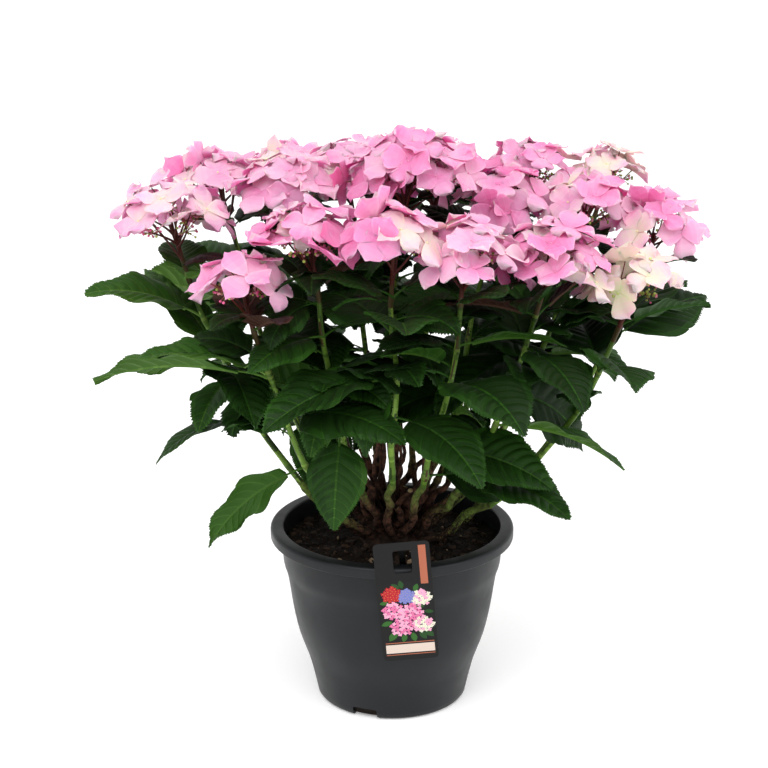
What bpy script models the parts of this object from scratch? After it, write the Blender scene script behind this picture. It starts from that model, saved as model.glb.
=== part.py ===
"""A potted hydrangea in full bloom.

A smooth nursery pot with a wide rim, its soil, a low root crown, one woody bough for each shoot,
and the shoots themselves: a green stem with opposite leaves, each pair square to the last, and a
domed flower head on top. A card label hangs on the rim.

Metres, +Z up. The origin is the centre of the pot's flat underside, and the plant faces -Y.
"""

import math
from random import Random

import bmesh
import bpy
from mathutils import Matrix, Vector
from mathutils.bvhtree import BVHTree

SEED = 27
GAP = 0.0003  # between pieces that touch on the real plant
UP = Vector((0, 0, 1))

# Pot: outer radius at each height, then the rim
POT_HEIGHT = 0.208
POT_SIDES = 32
POT_WALL = 0.0022
POT_FLOOR = 0.003
POT_OUTLINE = [
    (0.0785, 0.0), (0.0870, 0.004), (0.0918, 0.026), (0.0978, 0.049), (0.1085, 0.080),
    (0.1151, 0.111), (0.1208, 0.149), (0.1255, 0.166), (0.1272, 0.196),
]
RIM_RADIUS = 0.140
RIM_LIP = 0.0125  # height of the skirt under the rim's edge
RIM_EDGE = 0.004  # rounding of the rim's outer edge

# Drainage notches in the foot of the pot
NOTCH_WIDTH = 0.027
NOTCH_HEIGHT = 0.0105
NOTCH_DEPTH = 0.020
NOTCH_ANGLES = (249, 9, 129)

# Soil: a level seat in the middle, uneven round it
SOIL_TOP = 0.186
SEAT_RADIUS = 0.046
SOIL_RINGS = (0.072, 0.098)
SOIL_BUMP = 0.003

# Root crown: radius at each height over the soil
CROWN_OUTLINE = [(0.0385, 0.0), (0.0350, 0.005), (0.0285, 0.0145), (0.0165, 0.0215)]
CROWN_TOP = 0.0245
CROWN_SIDES = 20
CROWN_LOBES = 0.05

# Limbs
BOUGH_RADII = (0.0046, 0.0037)
STEM_RADII = (0.0036, 0.0022)
BOUGH_SHARE = 0.30  # how much of a limb's run is woody
BOUGH_SPREAD = 0.10  # how far a limb runs on in the direction that it leaves the crown
STEM_RISE = 0.16  # how far below its head a shoot turns upright

# Flower heads: plan place, height of the dome's foot, dome radius, turn of the top leaf pair and
# number of pairs
HEADS = {
    "top": (0.021, -0.010, 0.606, 0.070, 120, 4),
    "front": (0.000, -0.180, 0.573, 0.047, 20, 4),
    "front_left": (-0.086, -0.150, 0.567, 0.053, 130, 3),
    "front_right": (0.074, -0.172, 0.560, 0.048, 110, 3),
    "right_front": (0.162, -0.138, 0.545, 0.054, 15, 2),
    "low_left": (-0.152, -0.165, 0.524, 0.047, 120, 3),
    "low_right": (0.252, -0.105, 0.512, 0.046, 170, 2),
    "far_left": (-0.238, -0.045, 0.566, 0.060, 100, 3),
    "left": (-0.114, -0.010, 0.594, 0.055, 105, 3),
    "right": (0.119, -0.010, 0.583, 0.051, 145, 4),
    "right_inner": (0.213, 0.000, 0.572, 0.047, 40, 4),
    "far_right": (0.288, 0.000, 0.548, 0.054, 125, 2),
    "left_back": (-0.195, 0.075, 0.584, 0.050, 50, 3),
    "back_left": (-0.051, 0.110, 0.590, 0.055, 0, 5),
    "back_middle": (0.055, 0.125, 0.585, 0.050, 175, 4),
    "back_right": (0.160, 0.105, 0.592, 0.051, 85, 5),
    "far_back_right": (0.247, 0.115, 0.592, 0.044, 30, 2),
    "rear_left": (-0.125, 0.190, 0.572, 0.052, 75, 5),
    "rear_middle": (0.005, 0.215, 0.566, 0.052, 80, 4),
    "rear_right": (0.135, 0.205, 0.556, 0.052, 75, 4),
}
DOME_RISE = 0.85  # height of a dome over its radius
DOME_EDGE = math.radians(84)
FLORET_AREA = 0.0022  # dome area for each floret
FLORET_RADIUS = 0.0250
FLORET_NOTCH = 0.0185
FLORET_HALF = 0.0007
FLORET_CUP = 0.004
PEDICEL_RADIUS = 0.0008
PEDICEL_RUN = 0.022  # length of stem that the stalks leave from

# Leaf pairs, from the top one down: distance below the head, blade length, elevation, droop
LEAF_PAIRS = [
    (0.052, 0.078, 26, 26),
    (0.105, 0.110, 24, 38),
    (0.160, 0.130, 14, 46),
    (0.215, 0.126, 2, 52),
    (0.268, 0.112, -10, 52),
]
LEAF_WIDTH = 0.60  # of the blade's length
LEAF_STATIONS = [(0.0, 0.05), (0.30, 0.93), (0.64, 0.84)]  # along the blade, and share of width
LEAF_THICK = 0.012  # of the blade's length
LEAF_FOLD = 0.22
PETIOLE = 0.20  # of the blade's length
PETIOLE_RADIUS = 0.0013
CLEARANCE = 0.0012  # kept between one shoot's foliage and everything else
TRIES = [(0, 0, 1), (18, 0, 1), (-18, 0, 1), (0, 16, 1), (0, -16, 1), (30, 8, 0.9), (-30, 8, 0.9),
         (12, -10, 0.75), (-12, 14, 0.75), (0, 0, 0.6)]

# Leaves that stand out of the crown: shoot, distance below its head, azimuth, elevation, droop,
# roll and blade length. They take their places before the pairs do.
OUTER_LEAVES = [
    ("low_left", 0.105, 174, 11, 31, -20, 0.156),
    ("left", 0.245, 192, 32, 36, -70, 0.122),
    ("low_left", 0.230, 204, -15, 44, -52, 0.117),
    ("left_back", 0.144, 171, 21, 23, -60, 0.125),
    ("far_left", 0.158, 134, 41, 19, -15, 0.125),
    ("far_left", 0.245, 205, 8, 55, -12, 0.108),
    ("front_left", 0.219, 260, -58, 24, 2, 0.095),
    ("right_front", 0.154, 21, -20, 42, -68, 0.125),
    ("front_right", 0.235, 348, -4, 30, -25, 0.114),
    ("right_front", 0.200, 340, 5, 45, 17, 0.125),
    ("right_front", 0.280, 325, 10, 40, -5, 0.115),
    ("front_right", 0.280, 30, -5, 20, -50, 0.110),
    ("right_inner", 0.170, 330, 15, 40, 17, 0.100),
    ("far_right", 0.130, 40, 20, 22, -15, 0.135),
    ("far_right", 0.047, 244, -1, 24, -41, 0.130),
]

# Label: a card that hangs outside the rim, with a tongue through its window into the pot
LABEL_WIDTH = 0.061
LABEL_THICK = 0.0008
LABEL_TOP = 0.2395
LABEL_FOOT = 0.088
LABEL_PLACE = 0.0125
LABEL_LEAN = 5
WINDOW = (0.020, 0.2040, 0.2300)  # width, and its lowest and highest edge
TONGUE_WIDTH = 0.0065
TONGUE = [(-0.1412, 0.2320), (-0.1365, 0.2275), (-0.1289, 0.2160), (-0.1224, 0.2060),
          (-0.1204, 0.1940)]

for leftover in list(bpy.data.objects):
    bpy.data.objects.remove(leftover, do_unlink=True)


def finish(name, colour, roughness):
    """The Principled material of one piece."""
    material = bpy.data.materials.new(name)
    material.use_nodes = True
    shader = material.node_tree.nodes["Principled BSDF"]
    shader.inputs["Base Color"].default_value = (*colour, 1)
    shader.inputs["Roughness"].default_value = roughness
    return material


def piece(name, shape, material):
    """An object made from a bmesh, with its own material."""
    mesh = bpy.data.meshes.new(name)
    shape.to_mesh(mesh)
    shape.free()
    mesh.materials.append(material)
    obj = bpy.data.objects.new(name, mesh)
    bpy.context.scene.collection.objects.link(obj)
    return obj


def applied(obj):
    """Replaces an object's mesh with the result of its modifiers."""
    graph = bpy.context.evaluated_depsgraph_get()
    mesh = bpy.data.meshes.new_from_object(obj.evaluated_get(graph))
    obj.modifiers.clear()
    obj.data = mesh


def turned(profile, sides):
    """A profile of (radius, height) points spun into a closed solid about the Z axis."""
    shape = bmesh.new()
    points = [shape.verts.new((radius, 0, height)) for radius, height in profile]
    edges = [shape.edges.new(pair) for pair in zip(points, points[1:])]
    bmesh.ops.spin(shape, geom=points + edges, axis=UP, cent=(0, 0, 0), angle=math.tau,
                   steps=sides, use_merge=True)
    bmesh.ops.remove_doubles(shape, verts=shape.verts, dist=1e-6)
    bmesh.ops.recalc_face_normals(shape, faces=shape.faces)
    return shape


def loft(rings):
    """A closed skin through rings of points; a last ring of one point closes it to a tip."""
    shape = bmesh.new()
    loops = [[shape.verts.new(point) for point in ring] for ring in rings]
    for low, high in zip(loops, loops[1:]):
        for here in range(len(low)):
            after = (here + 1) % len(low)
            top = [high[after], high[here]] if len(high) > 1 else [high[0]]
            shape.faces.new([low[here], low[after]] + top)
    shape.faces.new(loops[0][::-1])
    if len(loops[-1]) > 1:
        shape.faces.new(loops[-1])
    bmesh.ops.recalc_face_normals(shape, faces=shape.faces)
    bmesh.ops.triangulate(shape, faces=shape.faces)
    return shape


class Limb:
    """The run of one shoot, a cubic curve from the root crown to the foot of its flower head."""

    def __init__(self, foot, leaving, head):
        outward = Vector((head.x, head.y, 0)).normalized()
        arriving = (UP + 0.25 * outward).normalized()
        self.points = [foot, foot + BOUGH_SPREAD * leaving, head - STEM_RISE * arriving, head]

    def at(self, t):
        a, b, c, d = self.points
        s = 1 - t
        return s**3 * a + 3 * s * s * t * b + 3 * s * t * t * c + t**3 * d

    def ahead(self, t):
        a, b, c, d = self.points
        s = 1 - t
        return (s * s * (b - a) + 2 * s * t * (c - b) + t * t * (d - c)).normalized()

    def below_head(self, distance):
        """The share of the run that lies this far down from the head."""
        t, last = 1.0, self.points[3]
        while distance > 0 and t > 0:
            t -= 0.005
            distance -= (self.at(t) - last).length
            last = self.at(t)
        return t

    def tube(self, start, end, radii, steps, sides):
        """A tapering closed tube along a stretch of the run."""
        side = UP.orthogonal()
        rings = []
        for step in range(steps + 1):
            share = step / steps
            t = start + share * (end - start)
            centre, ahead = self.at(t), self.ahead(t)
            side = (side - side.dot(ahead) * ahead).normalized()
            other = ahead.cross(side)
            radius = radii[0] + share * (radii[1] - radii[0])
            rings.append([
                centre + radius * (math.cos(a) * side + math.sin(a) * other)
                for a in (math.tau * corner / sides for corner in range(sides))
            ])
        return loft(rings)


def leaf_shape(foot, azimuth, elevation, droop, roll, length, grown=0.0, blade_only=False):
    """A stalked, folded, drooping leaf blade with four-cornered sections, ending in a tip."""
    rings = []
    half_width = LEAF_WIDTH * length / 2
    half_thick = LEAF_THICK * length / 2
    plan = Vector((math.cos(azimuth), math.sin(azimuth), 0))
    side = Matrix.Rotation(roll, 3, plan) @ plan.cross(UP)

    def ahead_at(share):
        pitch = elevation - droop * share
        return plan * math.cos(pitch) + UP * math.sin(pitch)

    base = foot + PETIOLE * length * ahead_at(0)
    if not blade_only:
        rise = side.cross(ahead_at(0))
        radius = PETIOLE_RADIUS + grown
        rings.append([foot - radius * side, foot - radius * rise, foot + radius * side,
                      foot + radius * rise])
    centre, last = base, 0.0
    for along, share in LEAF_STATIONS:
        centre = centre + (along - last) * length * ahead_at((along + last) / 2)
        last = along
        rise = side.cross(ahead_at(along)).normalized()
        reach = share * half_width + grown
        edge = LEAF_FOLD * share * half_width
        middle = (half_thick if along else PETIOLE_RADIUS) + grown
        rings.append([centre - reach * side + edge * rise, centre - middle * rise,
                      centre + reach * side + edge * rise, centre + middle * rise])
    rings.append([centre + ((1 - last) * length + grown) * ahead_at(1)])
    return loft(rings)


def floret_shape(foot, centre, facing, spin, size, grown=0.0):
    """Four joined petals as an eight-pointed lens, on a three-sided stalk."""
    side = Matrix.Rotation(spin, 3, facing) @ facing.orthogonal().normalized()
    other = facing.cross(side)

    def spoke(eighth, radius, lift):
        angle = math.tau * eighth / 8
        return centre + radius * (math.cos(angle) * side + math.sin(angle) * other) + lift * facing

    shape = bmesh.new()
    outline = [
        shape.verts.new(
            spoke(k, size * FLORET_NOTCH + grown, 0.3 * FLORET_CUP) if k % 2
            else spoke(k, size * FLORET_RADIUS + grown, size * FLORET_CUP)
        )
        for k in range(8)
    ]
    top = shape.verts.new(centre + (FLORET_HALF + grown) * facing)
    stalk = 1.6 * (PEDICEL_RADIUS + grown)
    under = [shape.verts.new(spoke(8 * k / 3, stalk, -FLORET_HALF - grown)) for k in range(3)]
    low = [shape.verts.new(foot + vert.co - centre) for vert in under]
    for k in range(8):
        after = (k + 1) % 8
        near, next_near = round(k * 3 / 8) % 3, round(after * 3 / 8) % 3
        shape.faces.new([outline[k], outline[after], top])
        shape.faces.new([outline[after], outline[k], under[near]])
        if near != next_near:
            shape.faces.new([outline[after], under[near], under[next_near]])
    for k in range(3):
        shape.faces.new([under[(k + 1) % 3], under[k], low[k], low[(k + 1) % 3]])
    shape.faces.new(low[::-1])
    bmesh.ops.recalc_face_normals(shape, faces=shape.faces)
    bmesh.ops.triangulate(shape, faces=shape.faces)
    return shape


class Space:
    """What is already placed, so that later foliage keeps clear of it."""

    def __init__(self):
        self.taken = []

    @staticmethod
    def box(shape):
        corners = [vert.co for vert in shape.verts]
        return [(min(c[i] for c in corners), max(c[i] for c in corners)) for i in range(3)]

    def add(self, shape, owner):
        self.taken.append((self.box(shape), BVHTree.FromBMesh(shape), owner))

    def free(self, shape, leaving_out=None, only=None):
        """Whether a shape crosses nothing, apart from one owner's pieces or among them only."""
        box, tree = self.box(shape), BVHTree.FromBMesh(shape)
        for other_box, other_tree, owner in self.taken:
            if owner == leaving_out or (only is not None and owner != only):
                continue
            if any(a[0] > b[1] or b[0] > a[1] for a, b in zip(box, other_box)):
                continue
            if tree.overlap(other_tree):
                return False
        return True


def make_pot():
    """The pot, turned in one piece, with three drainage notches cut through its foot."""
    lip = POT_HEIGHT - RIM_LIP
    edge = [
        (RIM_RADIUS - RIM_EDGE * (1 - math.cos(a)), POT_HEIGHT - RIM_EDGE * (1 - math.sin(a)))
        for a in (math.radians(45 * step) for step in range(3))
    ]
    neck = POT_OUTLINE[-1][0]
    inner_top = neck - POT_WALL
    rim = [(neck + 0.0005, POT_HEIGHT - POT_WALL), (RIM_RADIUS - POT_WALL, POT_HEIGHT - POT_WALL),
           (RIM_RADIUS - POT_WALL, lip), (RIM_RADIUS, lip)] + edge
    inside = [(radius - POT_WALL, height) for radius, height in POT_OUTLINE[:1:-1]]
    profile = [(0, 0)] + POT_OUTLINE + rim
    profile += [(inner_top + 0.001, POT_HEIGHT), (inner_top, POT_HEIGHT - 0.001)] + inside
    profile += [(POT_OUTLINE[1][0] - 2 * POT_WALL, POT_FLOOR), (0, POT_FLOOR)]
    pot = piece("pot", turned(profile, POT_SIDES), finish("pot_plastic", (0.06, 0.065, 0.07), 0.45))
    for number, angle in enumerate(NOTCH_ANGLES):
        cutter = bmesh.new()
        turn = Matrix.Rotation(math.radians(angle), 4, "Z")
        size = Matrix.Diagonal((2 * NOTCH_DEPTH, NOTCH_WIDTH, 2 * NOTCH_HEIGHT, 1))
        place = Matrix.Translation((POT_OUTLINE[1][0], 0, 0))
        bmesh.ops.create_cube(cutter, size=1, matrix=turn @ place @ size)
        notch = piece(f"notch_{number}", cutter, pot.data.materials[0])
        notch.hide_render = True
        notch.display_type = "WIRE"
        cut = pot.modifiers.new("notch", "BOOLEAN")
        cut.object = notch
    applied(pot)
    for number in range(len(NOTCH_ANGLES)):
        bpy.data.objects.remove(bpy.data.objects[f"notch_{number}"])
    pot.data.shade_smooth()
    pot.data.set_sharp_from_angle(angle=math.radians(35))
    return pot


def pot_inside(height):
    """The pot's inner radius at a height."""
    for (low_r, low_z), (high_r, high_z) in zip(POT_OUTLINE, POT_OUTLINE[1:]):
        if low_z <= height <= high_z:
            share = (height - low_z) / (high_z - low_z)
            return low_r + share * (high_r - low_r) - POT_WALL
    raise ValueError(height)


def make_soil():
    """The soil that fills the pot, level where the plant stands."""
    rng = Random(SEED)
    heights = [height for _, height in POT_OUTLINE[2:] if height < SOIL_TOP - 0.01]
    side = [(pot_inside(height) - GAP, height) for height in heights]
    floor = POT_FLOOR + GAP
    profile = [(0, floor), (POT_OUTLINE[1][0] - 2 * POT_WALL - GAP, floor)] + side
    profile += [(pot_inside(SOIL_TOP) - GAP, SOIL_TOP)]
    profile += [(radius, SOIL_TOP) for radius in reversed(SOIL_RINGS)]
    profile += [(SEAT_RADIUS, SOIL_TOP), (0, SOIL_TOP)]
    shape = turned(profile, POT_SIDES)
    for vert in shape.verts:
        radius = math.hypot(vert.co.x, vert.co.y)
        if vert.co.z > SOIL_TOP - 1e-6 and radius > SEAT_RADIUS + 0.001:
            edge = radius > max(SOIL_RINGS) + 0.001
            vert.co.z += rng.uniform(-SOIL_BUMP, 0.3 * SOIL_BUMP if edge else SOIL_BUMP)
    bmesh.ops.triangulate(shape, faces=shape.faces)
    return piece("soil", shape, finish("potting_soil", (0.03, 0.02, 0.014), 0.95))


def make_crown():
    """The root crown, a low lobed block of wood with a flat cut at soil level."""
    base = SOIL_TOP + GAP
    profile = [(0, base)] + [(radius, base + height) for radius, height in CROWN_OUTLINE]
    shape = turned(profile + [(0, base + CROWN_TOP)], CROWN_SIDES)
    for vert in shape.verts:
        angle = math.atan2(vert.co.y, vert.co.x)
        lobe = 1 + CROWN_LOBES * math.sin(3 * angle + 1) + CROWN_LOBES * math.sin(5 * angle)
        vert.co.x *= lobe
        vert.co.y *= lobe
    bmesh.ops.triangulate(shape, faces=shape.faces)
    return piece("root_crown", shape, finish("crown_wood", (0.16, 0.10, 0.06), 0.85))


def seated_foot(crown, head, furthest):
    """Where a limb leaves the root crown, and in which direction: further out for a far head."""
    reach = Vector((head.x, head.y, 0))
    tilt = math.radians(74) * min(1, reach.length / furthest)
    leaving = (reach.normalized() * math.sin(tilt) + UP * math.cos(tilt)).normalized()
    centre = Vector((0, 0, SOIL_TOP - 0.006))
    hit = crown.ray_cast(centre + 0.1 * leaving, -leaving)[0]
    side = leaving.orthogonal().normalized()
    other = leaving.cross(side)
    disc = [Vector()] + [
        share * BOUGH_RADII[0] * (math.cos(a) * side + math.sin(a) * other)
        for share in (0.5, 1) for a in (math.tau * k / 8 for k in range(8))
    ]
    foot = hit + 0.004 * leaving
    for _ in range(12):
        near = min(crown.find_nearest(foot + offset)[3] for offset in disc)
        foot = foot - (near - GAP) * leaving
    return foot, leaving


def fused(name, shapes, material):
    """One object from closed shapes that run into each other: its largest outer skin."""
    pieces = [piece(f"{name}_{number}", shape, material) for number, shape in enumerate(shapes)]
    stem, rest = pieces[0], pieces[1:]
    others = bpy.data.collections.new(name)
    for obj in rest:
        others.objects.link(obj)
    union = stem.modifiers.new("fuse", "BOOLEAN")
    union.operation = "UNION"
    union.operand_type = "COLLECTION"
    union.collection = others
    union.solver = "MANIFOLD"
    applied(stem)
    for obj in rest:
        bpy.data.objects.remove(obj)
    bpy.data.collections.remove(others)
    stem.name = stem.data.name = name
    keep_largest(stem.data)
    return stem


def keep_largest(mesh):
    """Drops every loose scrap and sealed hollow from a mesh."""
    shape = bmesh.new()
    shape.from_mesh(mesh)
    bmesh.ops.triangulate(shape, faces=shape.faces)
    groups, seen = [], set()
    for vert in shape.verts:
        if vert in seen:
            continue
        group, front = {vert}, [vert]
        while front:
            for edge in front.pop().link_edges:
                for end in edge.verts:
                    if end not in group:
                        group.add(end)
                        front.append(end)
        seen |= group
        groups.append(group)
    largest = max(groups, key=len)
    bmesh.ops.delete(shape, geom=[v for v in shape.verts if v not in largest], context="VERTS")
    shape.to_mesh(mesh)
    shape.free()


def head_florets(name, limb, radius, rng, space):
    """Florets spread evenly over a flower head's dome, on stalks from the top of the stem."""
    placed = []
    head = limb.at(1)
    count = round(math.tau * radius**2 * (1 - math.cos(DOME_EDGE)) / FLORET_AREA)
    for number in range(count):
        tilt = math.acos(1 - (number + 0.5) / count * (1 - math.cos(DOME_EDGE)))
        turn = number * math.pi * (3 - math.sqrt(5)) + rng.uniform(-0.25, 0.25)
        outward = Vector((math.cos(turn), math.sin(turn), 0))
        size = rng.uniform(0.88, 1.08)
        lean = rng.uniform(-0.2, 0.2)
        spin = rng.uniform(0, math.tau)
        foot = limb.at(limb.below_head(PEDICEL_RUN * math.sin(tilt)))
        for pull in (1, 0.9, 0.8):
            reach = radius - 0.008
            centre = head + pull * reach * (
                math.sin(tilt) * outward + DOME_RISE * math.cos(tilt) * UP)
            facing = (outward * math.sin(tilt) + UP * (math.cos(tilt) + 0.80 + lean)).normalized()
            if space.free(floret_shape(foot, centre, facing, spin, size, CLEARANCE), name):
                shape = floret_shape(foot, centre, facing, spin, size)
                space.add(shape, name)
                placed.append(shape)
                break
    return placed


def grown_leaf(name, foot, azimuth, elevation, droop, roll, length, tries, space):
    """The first of these tries at a leaf that has room, in a list, or none."""
    for more_turn, more_pitch, shrink in tries:
        leaf = (foot, math.radians(azimuth + more_turn), math.radians(elevation + more_pitch),
                math.radians(droop), roll, length * shrink)
        if not space.free(leaf_shape(*leaf, CLEARANCE), name):
            continue
        if not space.free(leaf_shape(*leaf, CLEARANCE, True), only=name):
            continue
        shape = leaf_shape(*leaf)
        space.add(shape, name)
        return [shape]
    return []


def leaf_pair(name, limb, level, turn, lowest, rng, space):
    """The two opposite leaves of one node of a shoot; one with no room is left out."""
    below, length, elevation, droop = LEAF_PAIRS[level]
    t = limb.below_head(below + rng.uniform(-0.008, 0.008))
    size = rng.uniform(0.9, 1.08)
    placed = []
    if t < lowest:
        return placed
    foot = limb.at(t)
    for facing in (0, 180):
        swing = rng.uniform(-12, 12)
        pitch = rng.uniform(-8, 8)
        roll = math.radians(rng.uniform(-20, 20))
        azimuth = turn + 90 * level + facing + swing
        placed += grown_leaf(name, foot, azimuth, elevation + pitch, droop, roll, length * size,
                             TRIES, space)
    return placed


def ribbon(profile, width):
    """A strip of card along a profile of (y, z) points."""
    rows = []
    for number, (y, z) in enumerate(profile):
        before = Vector(profile[max(number - 1, 0)])
        after = Vector(profile[min(number + 1, len(profile) - 1)])
        run = (after - before).normalized()
        inward = Vector((-run.y, run.x)) * LABEL_THICK
        rows.append([
            (-width / 2, y, z), (width / 2, y, z),
            (width / 2, y + inward.x, z + inward.y), (-width / 2, y + inward.x, z + inward.y),
        ])
    return loft(rows)


def make_label():
    """The card label: a bent strip with a window, and the tongue that hooks it on the rim."""
    material = finish("label_card", (0.05, 0.05, 0.055), 0.35)
    outer = -RIM_RADIUS - GAP - LABEL_THICK
    foot = -pot_inside(LABEL_FOOT) - POT_WALL - GAP - 2 * LABEL_THICK
    bend = POT_HEIGHT - RIM_LIP - 0.002
    label = piece("plant_label", ribbon([(outer, LABEL_TOP), (outer, bend), (foot, LABEL_FOOT)],
                                        LABEL_WIDTH), material)
    width, low, high = WINDOW
    window = bmesh.new()
    size = Matrix.Diagonal((width, 0.01, high - low, 1))
    place = Matrix.Translation((0, outer, (low + high) / 2))
    bmesh.ops.create_cube(window, size=1, matrix=place @ size)
    cutter = piece("window", window, material)
    tongue = piece("tongue", ribbon(TONGUE, TONGUE_WIDTH), material)
    for other, operation in ((cutter, "DIFFERENCE"), (tongue, "UNION")):
        step = label.modifiers.new(other.name, "BOOLEAN")
        step.object = other
        step.operation = operation
    applied(label)
    bpy.data.objects.remove(cutter)
    bpy.data.objects.remove(tongue)
    pivot = Vector((LABEL_PLACE, 0, bend))
    lean = Matrix.Rotation(math.radians(-LABEL_LEAN), 4, "Y")
    label.data.transform(Matrix.Translation(pivot) @ lean @ Matrix.Translation((0, 0, -bend)))
    return label


def as_shape(obj):
    """A bmesh copy of an object's mesh."""
    shape = bmesh.new()
    shape.from_mesh(obj.data)
    return shape


def build():
    space = Space()
    crown = make_crown()
    for obj in (make_pot(), make_soil(), crown, make_label()):
        space.add(as_shape(obj), obj.name)
    crown_tree = BVHTree.FromBMesh(as_shape(crown))
    furthest = max(math.hypot(x, y) for x, y, *_ in HEADS.values())

    limbs, shapes, splits = {}, {}, {}
    for name, (x, y, height, radius, turn, pairs) in HEADS.items():
        head = Vector((x, y, height))
        limb = Limb(*seated_foot(crown_tree, head, furthest), head)
        split = BOUGH_SHARE
        start = split + GAP / (limb.at(split + 0.01) - limb.at(split)).length * 0.01
        bough = limb.tube(0, split, BOUGH_RADII, 3, 6)
        stem = limb.tube(start, 1, STEM_RADII, 5, 5)
        space.add(bough, "bough")
        space.add(stem, name)
        piece(f"bough_{name}", bough, finish("bough_bark", (0.20, 0.13, 0.08), 0.85))
        limbs[name], shapes[name], splits[name] = limb, [stem], start

    rngs = {name: Random(f"{SEED} {name}") for name in HEADS}
    for name, (x, y, height, radius, turn, pairs) in HEADS.items():
        shapes[name] += head_florets(name, limbs[name], radius, rngs[name], space)
    for name, below, azimuth, elevation, droop, roll, length in OUTER_LEAVES:
        limb = limbs[name]
        shapes[name] += grown_leaf(name, limb.at(limb.below_head(below)), azimuth, elevation,
                                   droop, math.radians(roll), length, TRIES[:5], space)
    for level in range(len(LEAF_PAIRS)):
        for name, (x, y, height, radius, turn, pairs) in HEADS.items():
            if level < pairs:
                shapes[name] += leaf_pair(
                    name, limbs[name], level, turn, splits[name] + 0.02, rngs[name], space)
    for name, parts in shapes.items():
        fused(f"shoot_{name}", parts, finish("green_shoot", (0.10, 0.24, 0.07), 0.6))


build()
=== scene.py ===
import math
from random import Random

import bmesh
import bpy
import numpy as np
from mathutils import Matrix, Vector, noise
from mathutils.bvhtree import BVHTree
from mathutils.kdtree import KDTree


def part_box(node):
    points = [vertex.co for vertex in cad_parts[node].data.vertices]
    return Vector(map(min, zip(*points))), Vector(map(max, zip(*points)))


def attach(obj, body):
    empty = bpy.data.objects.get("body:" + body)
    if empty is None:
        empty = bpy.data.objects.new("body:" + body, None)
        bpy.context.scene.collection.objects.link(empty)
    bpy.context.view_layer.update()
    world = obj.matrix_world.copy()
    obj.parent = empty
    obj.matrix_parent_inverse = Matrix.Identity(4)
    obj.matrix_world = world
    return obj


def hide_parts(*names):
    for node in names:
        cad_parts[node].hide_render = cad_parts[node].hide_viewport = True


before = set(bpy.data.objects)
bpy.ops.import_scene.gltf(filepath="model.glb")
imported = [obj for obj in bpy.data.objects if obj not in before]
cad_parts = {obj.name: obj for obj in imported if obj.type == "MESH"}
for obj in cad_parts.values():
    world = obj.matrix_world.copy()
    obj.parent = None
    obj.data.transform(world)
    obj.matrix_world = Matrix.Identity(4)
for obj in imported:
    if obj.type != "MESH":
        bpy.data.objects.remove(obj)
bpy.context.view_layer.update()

# ---- Camera -------------------------------------------------------------------------------------
# A long lens from just under two metres away, a little above the flower heads and looking down
# at the pot, so that the rim shows as a flat oval.
CAMERA_PLACE = (-0.0092, -1.900, 0.943)
CAMERA_DOWN = 16.66
CAMERA_LENS, SENSOR_WIDTH = 82.5, 36


def placed(name, data):
    """An object in the scene for this mesh, camera or light."""
    obj = bpy.data.objects.new(name, data)
    bpy.context.scene.collection.objects.link(obj)
    return obj


camera = placed("camera", bpy.data.cameras.new("camera"))
bpy.context.scene.camera = camera
camera.location = CAMERA_PLACE
camera.rotation_euler = (math.radians(90 - CAMERA_DOWN), 0, 0)
camera.data.lens = CAMERA_LENS
camera.data.sensor_width = SENSOR_WIDTH

# ---- Pot ----------------------------------------------------------------------------------------
# A nursery pot of injection-moulded polypropylene, coloured through in anthracite: a thin tapered
# wall, a flat rim with a turned-down lip, and three drainage notches cut through its foot.
# Moulding leaves it satin, with a faint grain and slow changes of sheen.


def srgb(code):
    """The linear colour of an sRGB hex value."""
    parts = [int(code[i:i + 2], 16) / 255 for i in (1, 3, 5)]
    return tuple(p / 12.92 if p <= 0.04045 else ((p + 0.055) / 1.055) ** 2.4 for p in parts) + (1,)


def add(material, kind, inputs=(), **settings):
    """Adds a node to a material, with its settings, values and links."""
    node = material.node_tree.nodes.new(kind)
    for key, value in settings.items():
        setattr(node, key, value)
    for key, value in dict(inputs).items():
        if isinstance(value, bpy.types.NodeSocket):
            material.node_tree.links.new(value, node.inputs[key])
        else:
            node.inputs[key].default_value = value
    return node


def finish(name, colour, roughness, specular):
    """A named finish of one plain colour, and its shader for what is added to it."""
    material = bpy.data.materials.new(name)
    material.use_nodes = True
    shader = material.node_tree.nodes["Principled BSDF"]
    shader.inputs["Base Color"].default_value = srgb(colour)
    shader.inputs["Roughness"].default_value = roughness
    shader.inputs["Specular IOR Level"].default_value = specular
    material.diffuse_color = srgb(colour)
    return material, shader


def relief(material, shader, grain, depth, detail=3.0):
    """A noise relief, grain metres across and depth metres deep."""
    place = add(material, "ShaderNodeTexCoord").outputs["Object"]
    bumps = add(material, "ShaderNodeTexNoise",
                {"Vector": place, "Scale": 1 / grain, "Detail": detail, "Roughness": 0.6})
    bump = add(material, "ShaderNodeBump", {"Height": bumps.outputs["Fac"], "Distance": depth})
    material.node_tree.links.new(bump.outputs["Normal"], shader.inputs["Normal"])
    return place


def piece(name, mesh, materials, nodes=()):
    """An object of the plant, riding on its one body and standing for these CAD nodes."""
    obj = placed(name, mesh)
    for material in materials:
        mesh.materials.append(material)
    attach(obj, "root")
    if nodes:
        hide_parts(*nodes)
    return obj


def turned(profile, sides):
    """A profile of (radius, height) points spun into a closed solid about the Z axis."""
    shape = bmesh.new()
    points = [shape.verts.new((radius, 0, height)) for radius, height in profile]
    edges = [shape.edges.new(pair) for pair in zip(points, points[1:])]
    bmesh.ops.spin(shape, geom=points + edges, axis=(0, 0, 1), cent=(0, 0, 0), angle=math.tau,
                   steps=sides, use_merge=True)
    bmesh.ops.remove_doubles(shape, verts=shape.verts, dist=1e-6)
    bmesh.ops.recalc_face_normals(shape, faces=shape.faces)
    return shape


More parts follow.
